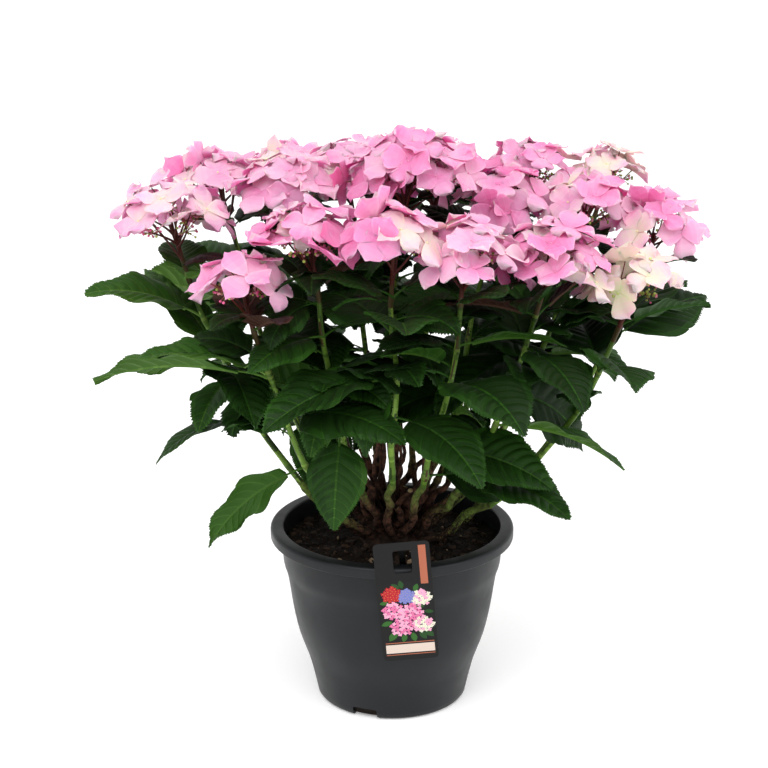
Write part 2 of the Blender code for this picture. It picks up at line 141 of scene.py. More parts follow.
def as_mesh(name, shape):
    """A mesh from a bmesh, which is then freed."""
    mesh = bpy.data.meshes.new(name)
    shape.to_mesh(mesh)
    shape.free()
    return mesh


def smooth_run(points, steps):
    """More points between these, on a curve through them."""
    done = [points[0]]
    for here in range(len(points) - 1):
        a, b = np.array(points[here]), np.array(points[here + 1])
        before = np.array(points[max(here - 1, 0)])
        after = np.array(points[min(here + 2, len(points) - 1)])
        out, into = (b - before) / 2, (after - a) / 2
        for t in (step / steps for step in range(1, steps + 1)):
            done.append(tuple((2 * t**3 - 3 * t * t + 1) * a + (t**3 - 2 * t * t + t) * out
                              + (3 * t * t - 2 * t**3) * b + (t**3 - t * t) * into))
    return done


def arc(centre, radius, start, end, steps):
    """Points along part of a circle in the profile's plane, angles in degrees."""
    angles = [math.radians(start + (end - start) * step / steps) for step in range(steps + 1)]
    return [(centre[0] + radius * math.cos(a), centre[1] + radius * math.sin(a)) for a in angles]


POT_SIDES = 144
POT_WALL = 0.0022
POT_FLOOR = 0.003
RIM_RADIUS, POT_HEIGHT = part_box("pot")[1].x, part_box("pot")[1].z
POT_OUTLINE = [
    (0.0870, 0.004), (0.0918, 0.026), (0.0978, 0.049), (0.1085, 0.080), (0.1151, 0.111),
    (0.1208, 0.149), (0.1255, 0.166), (0.1272, 0.196),
]
POT_FOOT = [(0.0690, 0.0012), (0.0700, 0), (0.0800, 0), (0.0835, 0.0007), (0.0856, 0.0022)]
FLOOR_RADIUS = 0.0826
RIM_LIP = 0.0125
RIM_DEPTH = 0.0060
# radii of the rim's corners: under it at the wall and at the lip, its outer and its inner edge
NECK_CORNER, LIP_CORNER, RIM_EDGE, RIM_INNER_EDGE = 0.0022, 0.0015, 0.004, 0.0018
NOTCH_SIZE = (0.046, 0.029, 0.025)
NOTCH_BEVEL = 0.003
NOTCH_ANGLES = (249, 9, 129)

wall = smooth_run(POT_OUTLINE, 3)
foot = [(0, POT_FOOT[0][1])] + POT_FOOT
neck, lip = POT_OUTLINE[-1][0], POT_HEIGHT - RIM_LIP
rim = [(neck, POT_HEIGHT - RIM_DEPTH)]
rim += arc((neck + NECK_CORNER, POT_HEIGHT - 2 * POT_WALL), NECK_CORNER, 180, 90, 4)
rim += arc((RIM_RADIUS - POT_WALL - LIP_CORNER, POT_HEIGHT - POT_WALL - LIP_CORNER), LIP_CORNER,
           90, 0, 3)
rim += arc((RIM_RADIUS - POT_WALL / 2, lip + POT_WALL / 2), POT_WALL / 2, 180, 360, 6)
rim += arc((RIM_RADIUS - RIM_EDGE, POT_HEIGHT - RIM_EDGE), RIM_EDGE, 0, 90, 6)
rim += arc((neck - POT_WALL + RIM_INNER_EDGE, POT_HEIGHT - RIM_INNER_EDGE), RIM_INNER_EDGE,
           90, 180, 4)
inside = [(radius - POT_WALL, height) for radius, height in reversed(wall[4:])]
inside += [(FLOOR_RADIUS, POT_FLOOR), (0, POT_FLOOR)]

pot_plastic, shader = finish("polypropylene_anthracite", "#111316", 0.42, 0.26)
place = relief(pot_plastic, shader, 0.0012, 0.00005)
clouds = add(pot_plastic, "ShaderNodeTexNoise", {"Vector": place, "Scale": 28.0, "Detail": 4.0})
sheen = add(pot_plastic, "ShaderNodeMapRange",
            {"Value": clouds.outputs["Fac"], "From Min": 0.3, "From Max": 0.7,
             "To Min": 0.36, "To Max": 0.50})
pot_plastic.node_tree.links.new(sheen.outputs["Result"], shader.inputs["Roughness"])
pot = piece("pot_moulded", as_mesh("pot_moulded", turned(foot + wall + rim + inside, POT_SIDES)),
            [pot_plastic], ["pot"])
for angle in NOTCH_ANGLES:
    notch_shape = bmesh.new()
    turn = Matrix.Rotation(math.radians(angle), 4, "Z")
    size = Matrix.Translation((POT_OUTLINE[0][0], 0, 0)) @ Matrix.Diagonal((*NOTCH_SIZE, 1))
    bmesh.ops.create_cube(notch_shape, size=1, matrix=turn @ size)
    bmesh.ops.bevel(notch_shape, geom=notch_shape.edges[:], offset=NOTCH_BEVEL, segments=4,
                    profile=0.5, affect="EDGES", material=-1)
    notch = placed("notch", as_mesh("notch", notch_shape))
    cut = pot.modifiers.new("notch", "BOOLEAN")
    cut.object = notch
    graph = bpy.context.evaluated_depsgraph_get()
    cut_mesh = bpy.data.meshes.new_from_object(pot.evaluated_get(graph))
    pot.modifiers.clear()
    pot.data = cut_mesh
    bpy.data.objects.remove(notch)
pot.data.shade_smooth()
pot.data.set_sharp_from_angle(angle=math.radians(40))

# ---- Soil ---------------------------------------------------------------------------------------
# Dark peat with bark chips and a few pale wood fibres, filled by hand to just under the rim. Its
# top is uneven, and the chips lie on it half sunk.


def arrays(shape):
    """A closed shape's points and triangles, as arrays that many copies are laid from."""
    bmesh.ops.triangulate(shape, faces=shape.faces[:])
    shape.verts.index_update()
    points = np.array([vert.co[:] for vert in shape.verts])
    faces = np.array([[vert.index for vert in face.verts] for face in shape.faces])
    shape.free()
    return points, faces


def joined(name, parts, crease):
    """One mesh from many (points, triangles, material of each triangle)."""
    starts = np.cumsum([0] + [len(points) for points, _, _ in parts])
    points = np.concatenate([points for points, _, _ in parts]).astype(np.float32)
    faces = np.concatenate([faces + start for (_, faces, _), start in zip(parts, starts)])
    shades = np.concatenate([np.broadcast_to(shade, len(faces)) for _, faces, shade in parts])
    mesh = bpy.data.meshes.new(name)
    mesh.vertices.add(len(points))
    mesh.vertices.foreach_set("co", points.ravel())
    mesh.loops.add(3 * len(faces))
    mesh.loops.foreach_set("vertex_index", faces.astype(np.int32).ravel())
    mesh.polygons.add(len(faces))
    mesh.polygons.foreach_set("loop_start", np.arange(0, 3 * len(faces), 3, dtype=np.int32))
    mesh.update(calc_edges=True)
    mesh.polygons.foreach_set("material_index", shades.astype(np.int32))
    mesh.shade_smooth()
    mesh.set_sharp_from_angle(angle=math.radians(crease))
    return mesh


def mottled(material, shader, place, scale, detail, dark, light):
    """Blotches between a dark and a light colour, each given with its place on the noise."""
    blotches = add(material, "ShaderNodeTexNoise", {"Vector": place, "Scale": scale, "Detail": detail})
    tint = add(material, "ShaderNodeValToRGB", {"Fac": blotches.outputs["Fac"]})
    for stop, (position, colour) in zip(tint.color_ramp.elements, (dark, light)):
        stop.position, stop.color = position, srgb(colour)
    material.node_tree.links.new(tint.outputs["Color"], shader.inputs["Base Color"])


def tones(name, colours, roughness, specular, grain, depth, detail=3.0):
    """One finish in several colours, all with the same relief."""
    skins = []
    for number, colour in enumerate(colours):
        skin, shader = finish(f"{name}_{number}", colour, roughness, specular)
        relief(skin, shader, grain, depth, detail)
        skins.append(skin)
    return skins


SOIL_TOP = 0.186
SOIL_RINGS = 56
SOIL_FOOT = 0.0823
SEAT_RADIUS = 0.034
# depth, how many to a metre, and layer of noise: lumps, clods and crumbs
SOIL_RELIEF = ((0.0042, 38, 1.7), (0.0018, 110, 5), (0.0011, 330, 9))
CHIP_COUNT = 1500
CHIP_LENGTHS = (0.0010, 0.0056)
CHIP_COLOURS = ("#17100B", "#271B13", "#3C2A1D", "#84705A")
GAP = 0.0003


def pot_inside(height):
    """The pot's inner radius at a height."""
    radii, heights = zip(*POT_OUTLINE)
    return float(np.interp(height, heights, radii)) - POT_WALL


def soil_height(x, y):
    """The soil's top, level where the plant stands and lumpy round it."""
    away = min(1, max(0, (math.hypot(x, y) - SEAT_RADIUS) / 0.02))
    lumps, clods, crumbs = (depth * noise.noise((pitch * x, pitch * y, layer))
                            for depth, pitch, layer in SOIL_RELIEF)
    return SOIL_TOP + away * (lumps + clods - 0.0008) + (0.3 + 0.7 * away) * crumbs - 0.0004


soil_edge = pot_inside(SOIL_TOP) - GAP
side = [(pot_inside(height) - GAP, height) for _, height in POT_OUTLINE[1:] if height < 0.17]
profile = [(0, POT_FLOOR + GAP), (SOIL_FOOT, POT_FLOOR + GAP)] + side
profile += [(soil_edge, SOIL_TOP - 0.004)]
profile += [(soil_edge * (1 - step / SOIL_RINGS), SOIL_TOP) for step in range(SOIL_RINGS)]
profile += [(0, SOIL_TOP)]
soil_shape = turned(profile, POT_SIDES)
for vert in soil_shape.verts:
    if vert.co.z > SOIL_TOP - 1e-5:
        vert.co.z = soil_height(vert.co.x, vert.co.y)
peat, shader = finish("moist_peat", "#150F0A", 0.95, 0.15)
place = relief(peat, shader, 0.0016, 0.0009, 6.0)
mottled(peat, shader, place, 420.0, 5.0, (0.42, "#0B0806"), (0.68, "#281C14"))
soil_mesh = as_mesh("soil_top", soil_shape)
soil_mesh.shade_smooth()
piece("soil_peat", soil_mesh, [peat], ["soil"])

ball_shape = bmesh.new()
bmesh.ops.create_icosphere(ball_shape, subdivisions=1, radius=1)
ball = arrays(ball_shape)
rng = Random(5)
chips = []
for _ in range(CHIP_COUNT):
    radius, angle = soil_edge * math.sqrt(rng.random()) * 0.985, rng.uniform(0, math.tau)
    if radius < SEAT_RADIUS * 0.9:
        continue
    x, y = radius * math.cos(angle), radius * math.sin(angle)
    length = CHIP_LENGTHS[0] + CHIP_LENGTHS[1] * rng.random() ** 3
    size = np.array([length, length * rng.uniform(0.4, 0.9), length * rng.uniform(0.25, 0.6)])
    rough = np.array([[rng.uniform(0.65, 1.25)] for _ in ball[0]])
    turn = np.array((Matrix.Rotation(rng.uniform(0, math.tau), 3, "Z")
                     @ Matrix.Rotation(rng.uniform(-0.5, 0.5), 3, "X")))
    where = np.array([x, y, soil_height(x, y) + 0.3 * size[2]])
    chips.append(((ball[0] * rough * size) @ turn.T + where, ball[1],
                  rng.choices(range(4), (8, 5, 3, 0.6))[0]))
piece("soil_chips", joined("soil_chips", chips, 25),
      tones("bark_chip", CHIP_COLOURS, 0.85, 0.25, 0.0008, 0.0003))

# ---- Label --------------------------------------------------------------------------------------
# A care label of coated charcoal card, bent to follow the wall and hung over the rim by a tongue
# that is cut from its window. Its print, plain round blooms and leaves over a pale band between
# copper lines, is a thin ink with the card's own soft sheen.
CARD_WIDTH, CARD_THICK = 0.061, 0.0008
CARD_TOP, CARD_BEND, CARD_FOOT = 0.2395, POT_HEIGHT - RIM_LIP - 0.002, 0.088
CARD_PLACE, CARD_LEAN = 0.0125, 5
CARD_CORNER, CARD_WINDOW = 0.0055, (0.020, 0.2040, 0.2300)
WINDOW_CORNER, BAR_CORNER = 0.003, 0.0004
# across, along from its root as a share, and the run it follows from the window to its tip
TONGUE_OUTLINE = [(-0.0033, 0), (0.0033, 0), (0.0033, 0.95), (0.0020, 1), (-0.0020, 1),
                  (-0.0033, 0.95)]
TONGUE = [(-0.1412, 0.2320), (-0.1365, 0.2275), (-0.1289, 0.2160), (-0.1224, 0.2060),
          (-0.1204, 0.1940)]

card_front = -RIM_RADIUS - GAP - CARD_THICK
card_end = -pot_inside(CARD_FOOT) - POT_WALL - GAP - 2 * CARD_THICK
card_bend_at = CARD_TOP - CARD_BEND
card_length = card_bend_at + math.hypot(CARD_BEND - CARD_FOOT, card_end - card_front)
card_slope = math.atan2(card_end - card_front, CARD_BEND - CARD_FOOT)
card_s = np.linspace(0, card_length, 300)
card_turn = np.clip((card_s - card_bend_at + 0.008) / 0.016, 0, 1)
card_angle = card_slope * card_turn**2 * (3 - 2 * card_turn)
card_step = card_s[1]
card_y = card_front + np.concatenate([[0], np.cumsum(np.sin(card_angle[1:]))]) * card_step
card_z = CARD_TOP - np.concatenate([[0], np.cumsum(np.cos(card_angle[1:]))]) * card_step
card_hang = np.array(Matrix.Translation((CARD_PLACE, 0, CARD_BEND))
                     @ Matrix.Rotation(math.radians(-CARD_LEAN), 4, "Y")
                     @ Matrix.Translation((0, 0, -CARD_BEND)))


def hung(points):
    """Points where the hung card has them."""
    return points @ card_hang[:3, :3].T + card_hang[:3, 3]


def on_card(points):
    """Points given across the card, down from its top, and out of its face."""
    across, down, out = points.T
    angle = np.interp(down, card_s, card_angle)
    return hung(np.stack([across, np.interp(down, card_s, card_y) - out * np.cos(angle),
                          np.interp(down, card_s, card_z) - out * np.sin(angle)], axis=1))


def slab(outline, thick, hole=(), cuts=()):
    """A flat slab with this outline and its face at height 0, as arrays."""
    shape = bmesh.new()
    edges = []
    for loop in [outline] + ([hole] if hole else []):
        corners = [shape.verts.new((x, y, 0)) for x, y in loop]
        edges += [shape.edges.new(ends) for ends in zip(corners, corners[1:] + corners[:1])]
    bmesh.ops.triangle_fill(shape, use_beauty=True, edges=edges)
    for cut in cuts:
        bmesh.ops.bisect_plane(shape, geom=shape.verts[:] + shape.edges[:] + shape.faces[:],
                               plane_co=(0, cut, 0), plane_no=(0, 1, 0))
    lower = bmesh.ops.extrude_face_region(shape, geom=shape.faces[:])["geom"]
    for vert in lower:
        if isinstance(vert, bmesh.types.BMVert):
            vert.co.z -= thick
    bmesh.ops.recalc_face_normals(shape, faces=shape.faces[:])
    return arrays(shape)


def rounded(left, right, top, bottom, radius):
    """The corners of a rectangle with rounded corners."""
    return (arc((right - radius, bottom - radius), radius, 0, 90, 6)
            + arc((left + radius, bottom - radius), radius, 90, 180, 6)
            + arc((left + radius, top + radius), radius, 180, 270, 6)
            + arc((right - radius, top + radius), radius, 270, 360, 6))


INKS = ("#070707", "#A05C44", "#CDBCB0", "#D4689B", "#E6A0BF", "#DAD8C6", "#6F77B8", "#AE1C28",
        "#2A5A1E", "#1C4218", "#C9B04A")
CHARCOAL, COPPER, PALE, PINK, BLUSH, IVORY, LILAC, RED, GREEN, DEEP_GREEN, YELLOW = range(len(INKS))
BLOOMS = [  # across, down, radius, two inks for its florets
    (-0.0150, 0.0625, 0.0115, (RED, RED)), (0.0010, 0.0660, 0.0105, (LILAC, LILAC)),
    (0.0165, 0.0690, 0.0120, (IVORY, BLUSH)), (-0.0150, 0.0850, 0.0130, (BLUSH, PINK)),
    (0.0045, 0.0890, 0.0135, (PINK, BLUSH)), (-0.0070, 0.1080, 0.0140, (PINK, BLUSH)),
    (0.0165, 0.1060, 0.0125, (BLUSH, IVORY)),
]
PRINT_LEAVES = [  # across, down, way it points in degrees, length
    (-0.013, 0.114, 125, 0.016), (0.017, 0.113, 50, 0.015), (0.004, 0.117, 80, 0.013),
    (-0.003, 0.055, -100, 0.011), (0.010, 0.060, -70, 0.011), (-0.006, 0.055, -140, 0.011),
    (-0.017, 0.100, 160, 0.013), (0.019, 0.088, 10, 0.010), (-0.004, 0.118, 105, 0.012),
    (0.012, 0.116, 60, 0.013), (-0.019, 0.073, 175, 0.010), (0.008, 0.078, 20, 0.012),
]
BAND_INSET = 0.0035
PRINTED_FLORETS = 30
PRINTED_PETAL, PRINTED_EYE = 0.0026, 0.0008
GOLDEN_ANGLE = math.pi * (3 - math.sqrt(5))
own = Random(11)
window_width, window_low, window_high = CARD_WINDOW
half_card = CARD_WIDTH / 2
bends = [card_bend_at + step * 0.0016 for step in range(-6, 7)]
card_shape = slab(
    rounded(-half_card, half_card, 0, card_length, CARD_CORNER), CARD_THICK,
    rounded(-window_width / 2, window_width / 2, CARD_TOP - window_high, CARD_TOP - window_low,
            WINDOW_CORNER), bends)
card = [(on_card(card_shape[0]), card_shape[1], CHARCOAL)]
tongue_run = smooth_run(TONGUE, 6)
tongue_ways = np.gradient(np.array(tongue_run), axis=0)
tongue_ways /= np.linalg.norm(tongue_ways, axis=1, keepdims=True)
tongue_steps = len(tongue_run) - 1
tongue_shape = slab(TONGUE_OUTLINE, 1,
                    cuts=[step / tongue_steps for step in range(1, tongue_steps)])
tongue_row = tongue_shape[0][:, 1] * tongue_steps
rows = range(len(tongue_run))
tongue_y, tongue_z, way_y, way_z = (np.interp(tongue_row, rows, values) for values in (
    np.array(tongue_run)[:, 0], np.array(tongue_run)[:, 1], tongue_ways[:, 0], tongue_ways[:, 1]))
depth = -tongue_shape[0][:, 2] * CARD_THICK
tongue_points = np.stack([tongue_shape[0][:, 0], tongue_y - way_z * depth, tongue_z + way_y * depth],
                         axis=1)
card.append((hung(tongue_points), tongue_shape[1], CHARCOAL))
band = (-half_card + BAND_INSET, half_card - BAND_INSET)
for left, right, top, bottom, ink in (
        (*band, 0.1300, 0.1311, COPPER), (*band, 0.1330, 0.1450, PALE),
        (*band, 0.1469, 0.1480, COPPER),
        (half_card - 0.0125, half_card - 0.0045, 0.0045, 0.0500, COPPER)):
    bar = slab(rounded(left, right, top, bottom, BAR_CORNER), 0.0001,
               cuts=[bend for bend in bends if top < bend < bottom])
    card.append((on_card(bar[0] + (0, 0, 0.00006)), bar[1], ink))


def printed(shape, way, size, middle, low, thick, ink):
    """Adds a flat print to the card: turned, sized, in its place, and its ink from low up."""
    turn = np.array(((math.cos(way), math.sin(way)), (-math.sin(way), math.cos(way))))
    flat = shape[0][:, :2] @ turn * size + middle
    height = low + thick * shape[0][:, 2]
    card.append((on_card(np.column_stack([flat, height])), shape[1], ink))


# each print lies a few thousandths of a millimetre over the last, so that no two faces share a place
leaf_line = [(t, 0.26 * math.sin(math.pi * t) ** 0.8) for t in np.linspace(0.02, 0.98, 9)]
print_leaf = slab([(0, 0)] + leaf_line + [(1, 0)] + [(t, -v) for t, v in leaf_line[::-1]], 1)
for number, (across, down, way, length) in enumerate(PRINT_LEAVES):
    printed(print_leaf, math.radians(way), length, (across, down), 0.00005 + 0.000003 * number,
            0.00008, (GREEN, DEEP_GREEN)[number % 2])
print_petal = slab([(0.5 + 0.5 * math.cos(a), 0.42 * math.sin(a)) for a in (
    math.tau * k / 8 for k in range(8))], 1)
for across, down, radius, inks in BLOOMS:
    for number in range(PRINTED_FLORETS):
        out = 0.90 * radius * math.sqrt((PRINTED_FLORETS - number - 0.5) / PRINTED_FLORETS)
        angle = number * GOLDEN_ANGLE
        middle = np.array((across + out * math.cos(angle), down + out * math.sin(angle)))
        spin, ink = own.uniform(0, math.tau), own.choice(inks)
        low = 0.00010 + 0.000004 * number
        for quarter in range(4):
            printed(print_petal, spin + quarter * math.pi / 2, PRINTED_PETAL, middle, low, 0.00008,
                    ink)
        printed(print_petal, 0, PRINTED_EYE, middle - (PRINTED_EYE / 2, 0), low + 0.00004, 0.00004,
                YELLOW)
piece("label_card", joined("label_card", card, 35),
      tones("label_ink", INKS, 0.34, 0.22, 0.0030, 0.00003, 1.0), ["plant_label"])

# ---- Root crown and boughs ----------------------------------------------------------------------
# Old wood: a low lobed crown that was cut back each year, and one bough for each shoot, which
# leaves it lower and flatter the further out its flower head stands. Its rough grey-brown bark is
# dull, ridged along the bough and swollen at the scars of old leaf pairs. Low down in the pot the
# bark is darker, which is painted shade.
BARKS = (
    ("grey_brown_bark", "#43291F", "#1E110C", "#634233"),
    ("olive_brown_bark", "#4E4429", "#2C2415", "#6A5E38"),
    ("young_green_bark", "#4C5A27", "#3A3F1C", "#5F7431"),
    ("cut_wood", "#A08A62", "#7E6A48", "#B49F78"),
    # the last bark is darker for the wood low in the pot: painted shade
    ("painted_shade_bark", "#261A13", "#130C08", "#3A281E"),
)
OLD, OLIVE, YOUNG, CUT, PAINTED_SHADE_BARK = range(len(BARKS))
SEED = 27
UP = Vector((0, 0, 1))
CROWN_OUTLINE = [(0.0385, 0.0), (0.0350, 0.005), (0.0285, 0.0145), (0.0165, 0.0215)]
CROWN_TOP = 0.0245
CROWN_LOBES = 0.05
BOUGH_RADII = (0.0046, 0.0037)
BOUGH_SHARE = 0.30
BOUGH_SPREAD = 0.10
BOUGH_TILT = 74
SCARS, SCAR_SWELL = 11, 0.26
STEM_RISE = 0.16
# Flower heads: plan place, height of the dome's foot, dome radius, turn of the top leaf pair and
# number of pairs
HEADS = {
    "top": (0.021, -0.010, 0.606, 0.070, 120, 4),
    "front": (0.000, -0.180, 0.573, 0.047, 20, 4),
    "front_left": (-0.086, -0.150, 0.567, 0.053, 130, 3),
    "front_right": (0.074, -0.172, 0.560, 0.048, 110, 3),
    "right_front": (0.162, -0.138, 0.545, 0.054, 15, 2),
    "low_left": (-0.152, -0.165, 0.524, 0.047, 120, 3),
    "low_right": (0.252, -0.105, 0.512, 0.046, 170, 2),
    "far_left": (-0.238, -0.045, 0.566, 0.060, 100, 3),
    "left": (-0.114, -0.010, 0.594, 0.055, 105, 3),
    "right": (0.119, -0.010, 0.583, 0.051, 145, 4),
    "right_inner": (0.213, 0.000, 0.572, 0.047, 40, 4),
    "far_right": (0.288, 0.000, 0.548, 0.054, 125, 2),
    "left_back": (-0.195, 0.075, 0.584, 0.050, 50, 3),
    "back_left": (-0.051, 0.110, 0.590, 0.055, 0, 5),
    "back_middle": (0.055, 0.125, 0.585, 0.050, 175, 4),
    "back_right": (0.160, 0.105, 0.592, 0.051, 85, 5),
    "far_back_right": (0.247, 0.115, 0.592, 0.044, 30, 2),
    "rear_left": (-0.125, 0.190, 0.572, 0.052, 75, 5),
    "rear_middle": (0.005, 0.215, 0.566, 0.052, 80, 4),
    "rear_right": (0.135, 0.205, 0.556, 0.052, 75, 4),
}


class Limb:
    """The run of one shoot, a cubic curve from the root crown to the foot of its flower head."""

    def __init__(self, foot, leaving, head):
        outward = Vector((head.x, head.y, 0)).normalized()
        arriving = (UP + 0.25 * outward).normalized()
        self.points = [foot, foot + BOUGH_SPREAD * leaving, head - STEM_RISE * arriving, head]

    def at(self, t):
        a, b, c, d = self.points
        s = 1 - t
        return s**3 * a + 3 * s * s * t * b + 3 * s * t * t * c + t**3 * d

    def below_head(self, distance):
        """The share of the run that lies this far down from the head."""
        t, last = 1.0, self.points[3]
        while distance > 0 and t > 0:
            t -= 0.005
            distance -= (self.at(t) - last).length
            last = self.at(t)
        return t


def seated_foot(crown, head, furthest):
    """Where a limb leaves the root crown, and in which direction: further out for a far head."""
    reach = Vector((head.x, head.y, 0))
    tilt = math.radians(BOUGH_TILT) * min(1, reach.length / furthest)
    leaving = (reach.normalized() * math.sin(tilt) + UP * math.cos(tilt)).normalized()
    centre = Vector((0, 0, SOIL_TOP - 0.006))
    hit = crown.ray_cast(centre + 0.1 * leaving, -leaving)[0]
    side = leaving.orthogonal().normalized()
    other = leaving.cross(side)
    disc = [Vector()] + [
        share * BOUGH_RADII[0] * (math.cos(a) * side + math.sin(a) * other)
        for share in (0.5, 1) for a in (math.tau * k / 8 for k in range(8))
    ]
    foot = hit + 0.004 * leaving
    for _ in range(12):
        near = min(crown.find_nearest(foot + offset)[3] for offset in disc)
        foot = foot - (near - GAP) * leaving
    return foot, leaving


def frames(run):
    """Two directions square to a run of points, which don't twist on the way."""
    ahead = np.gradient(run, axis=0)
    ahead /= np.linalg.norm(ahead, axis=1, keepdims=True)
    side = np.array(Vector(ahead[0]).orthogonal().normalized())
    sides = []
    for direction in ahead:
        side = side - side.dot(direction) * direction
        side /= np.linalg.norm(side)
        sides.append(side)
    return np.array(sides), np.cross(ahead, sides)


def rod(sides, rings):
    """A capped rod of unit radius, with its rings at whole heights."""
    ends = [(0, 0)] + [(1, ring) for ring in range(rings)] + [(0, rings - 1)]
    return arrays(turned(ends, sides))


def laid(template, run, radii, ridges=None):
    """A rod laid along a run of points, with a radius at each, which ridges change at each point."""
    run, radii = np.array([tuple(point) for point in run]), np.array(radii, dtype=float)
    points, faces = template
    side, other = frames(run)
    ring = np.rint(points[:, 2]).astype(int)
    radius = radii[ring]
    if ridges is not None:
        radius = radius * (1 + ridges(ring, np.arctan2(points[:, 1], points[:, 0])))
    offset = points[:, :1] * side[ring] + points[:, 1:2] * other[ring]
    return run[ring] + radius[:, None] * offset, faces


crown_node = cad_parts["root_crown"].data
crown_tree = BVHTree.FromPolygons([vert.co for vert in crown_node.vertices],
                                  [face.vertices[:] for face in crown_node.polygons])
heads = {name: Vector(sizes[:3]) for name, sizes in HEADS.items()}
furthest = max(math.hypot(x, y) for x, y, *_ in HEADS.values())
limbs = {name: Limb(*seated_foot(crown_tree, head, furthest), head) for name, head in heads.items()}

crown_base = SOIL_TOP + GAP
crown_profile = [(radius, crown_base + height) for radius, height in CROWN_OUTLINE]
crown_profile = smooth_run(crown_profile, 4) + [(0.009, crown_base + CROWN_TOP - 0.0008)]
crown_shape = turned([(0, crown_base)] + crown_profile + [(0, crown_base + CROWN_TOP)], 90)
bmesh.ops.subdivide_edges(
    crown_shape, edges=[e for e in crown_shape.edges if abs(e.verts[0].co.z - e.verts[1].co.z) > 1e-4],
    cuts=1)
for vert in crown_shape.verts:
    angle = math.atan2(vert.co.y, vert.co.x)
    lobe = 1 + CROWN_LOBES * math.sin(3 * angle + 1) + CROWN_LOBES * math.sin(5 * angle)
    ridge = noise.noise((9 * math.cos(angle), 9 * math.sin(angle), 60 * vert.co.z))
    knots = noise.noise((3 * math.cos(angle), 3 * math.sin(angle), 25 * vert.co.z + 4))
    lobe *= 1 + 0.045 * ridge + 0.06 * knots
    vert.co.x *= lobe
    vert.co.y *= lobe
# the crown takes the darkest bark, as painted shade down in the pot
woody = [(*arrays(crown_shape), PAINTED_SHADE_BARK)]
BOUGH_RINGS = 60
bough_rod = rod(14, BOUGH_RINGS)
bough_ring = bough_rod[0][bough_rod[1]].mean(axis=1)[:, 2]


def ridged(seed):
    """Relief that runs along a limb and changes round it."""
    return lambda ring, angle: np.array([
        0.13 * noise.noise((2.2 * math.cos(a), 2.2 * math.sin(a), 0.12 * r + 7 * seed))
        + 0.05 * noise.noise((6 * math.cos(a), 6 * math.sin(a), 0.5 * r + 7 * seed))
        for r, a in zip(ring, angle)])


def crooked(points, seed, sway, ends=(1, 1)):
    """A run of points with slow bends, which fade out towards its ends."""
    done = []
    for number, point in enumerate(points):
        share = number / (len(points) - 1)
        fade = min(1, 5 * share if ends[0] else 1, 5 * (1 - share) if ends[1] else 1)
        done.append(point + sway * fade * Vector([
            noise.noise((3.3 * share + 5.1 * seed, 2.7 * axis, 0.4)) for axis in range(3)]))
    return done


def aimed(tilt, angle):
    """The direction tilted this far from straight up, towards an angle round it."""
    return Vector((math.sin(tilt) * math.cos(angle), math.sin(tilt) * math.sin(angle), math.cos(tilt)))


for number, (name, limb) in enumerate(limbs.items()):
    shares = np.linspace(-0.03, BOUGH_SHARE, BOUGH_RINGS)
    run = crooked([limb.at(t) for t in shares], number, 0.010)
    scars = np.mod(shares * SCARS + 0.37 * number, 1) - 0.5
    radii = np.interp(shares, (0, BOUGH_SHARE), BOUGH_RADII)
    radii *= 1 + SCAR_SWELL * np.exp(-(scars / 0.09) ** 2)
    radii[shares < 0.02] *= 1.25
    # an outer bough is younger wood, and turns green sooner
    green_from = 1.05 - 0.75 * min(1, math.hypot(*HEADS[name][:2]) / furthest)
    speckle = np.array([own.gauss(0, 0.07) for _ in bough_ring])
    youth = bough_ring / BOUGH_RINGS - green_from + speckle
    shade = np.where(youth > 0.22, YOUNG, np.where(youth > 0, OLIVE, OLD))
    heights = np.array(run)[np.minimum(bough_ring.astype(int), BOUGH_RINGS - 1), 2]
    # painted shade: wood within 30 mm of the soil, down in the pot, takes the darkest bark
    shade[heights + 0.012 * speckle / 0.07 < SOIL_TOP + 0.030] = PAINTED_SHADE_BARK
    woody.append((*laid(bough_rod, run, radii, ridged(number)), shade))
# stubs of shoots that were cut back, with a pale cut at the top
STUB_COUNT = 26
STUB_RINGS = 16
STUB_LENGTHS, TWIG_LENGTHS = (0.035, 0.085), (0.09, 0.17)
STUB_FEET, STUB_TOPS = (0.0042, 0.0056), (0.0024, 0.0036)
stub_rod = rod(10, STUB_RINGS)
stub_cut = (stub_rod[0][stub_rod[1]][:, :, 2] > STUB_RINGS - 1.5).all(axis=1)
stub_foot = stub_rod[0][stub_rod[1]].mean(axis=1)[:, 2] < 0.35 * STUB_RINGS
for number in range(STUB_COUNT):
    twig = number % 2
    angle = 2.4 * number + own.uniform(-0.2, 0.2)
    tilt = own.uniform(0.05, 0.55) if twig else own.uniform(0.15, 0.95)
    way = aimed(tilt, angle)
    start = Vector((0, 0, SOIL_TOP - 0.004)) + 0.022 * way
    length = own.uniform(*(TWIG_LENGTHS if twig else STUB_LENGTHS))
    run = crooked([start + length * (t * way + 0.3 * t * t * UP)
                   for t in (ring / (STUB_RINGS - 1) for ring in range(STUB_RINGS))],
                  40 + number, 0.018 if twig else 0.012, (1, 0))
    thick = 0.55 if twig else 1
    radii = thick * np.linspace(own.uniform(*STUB_FEET), own.uniform(*STUB_TOPS), STUB_RINGS)
    # a stub's foot takes the darkest bark as painted shade, and its top the pale cut
    woody.append((*laid(stub_rod, run, radii, ridged(40 + number)),
                  np.where(stub_cut, CUT, np.where(stub_foot, PAINTED_SHADE_BARK, OLD))))
barks = []
for finish_name, colour, dark, light in BARKS:
    bark, shader = finish(finish_name, colour, 0.85, 0.2)
    place = relief(bark, shader, 0.0018, 0.0006, 5.0)
    mottled(bark, shader, place, 150.0, 4.0, (0.36, dark), (0.66, light))
    barks.append(bark)
piece("woody_base", joined("woody_base", woody, 60), barks,
      ["root_crown"] + [f"bough_{name}" for name in HEADS])
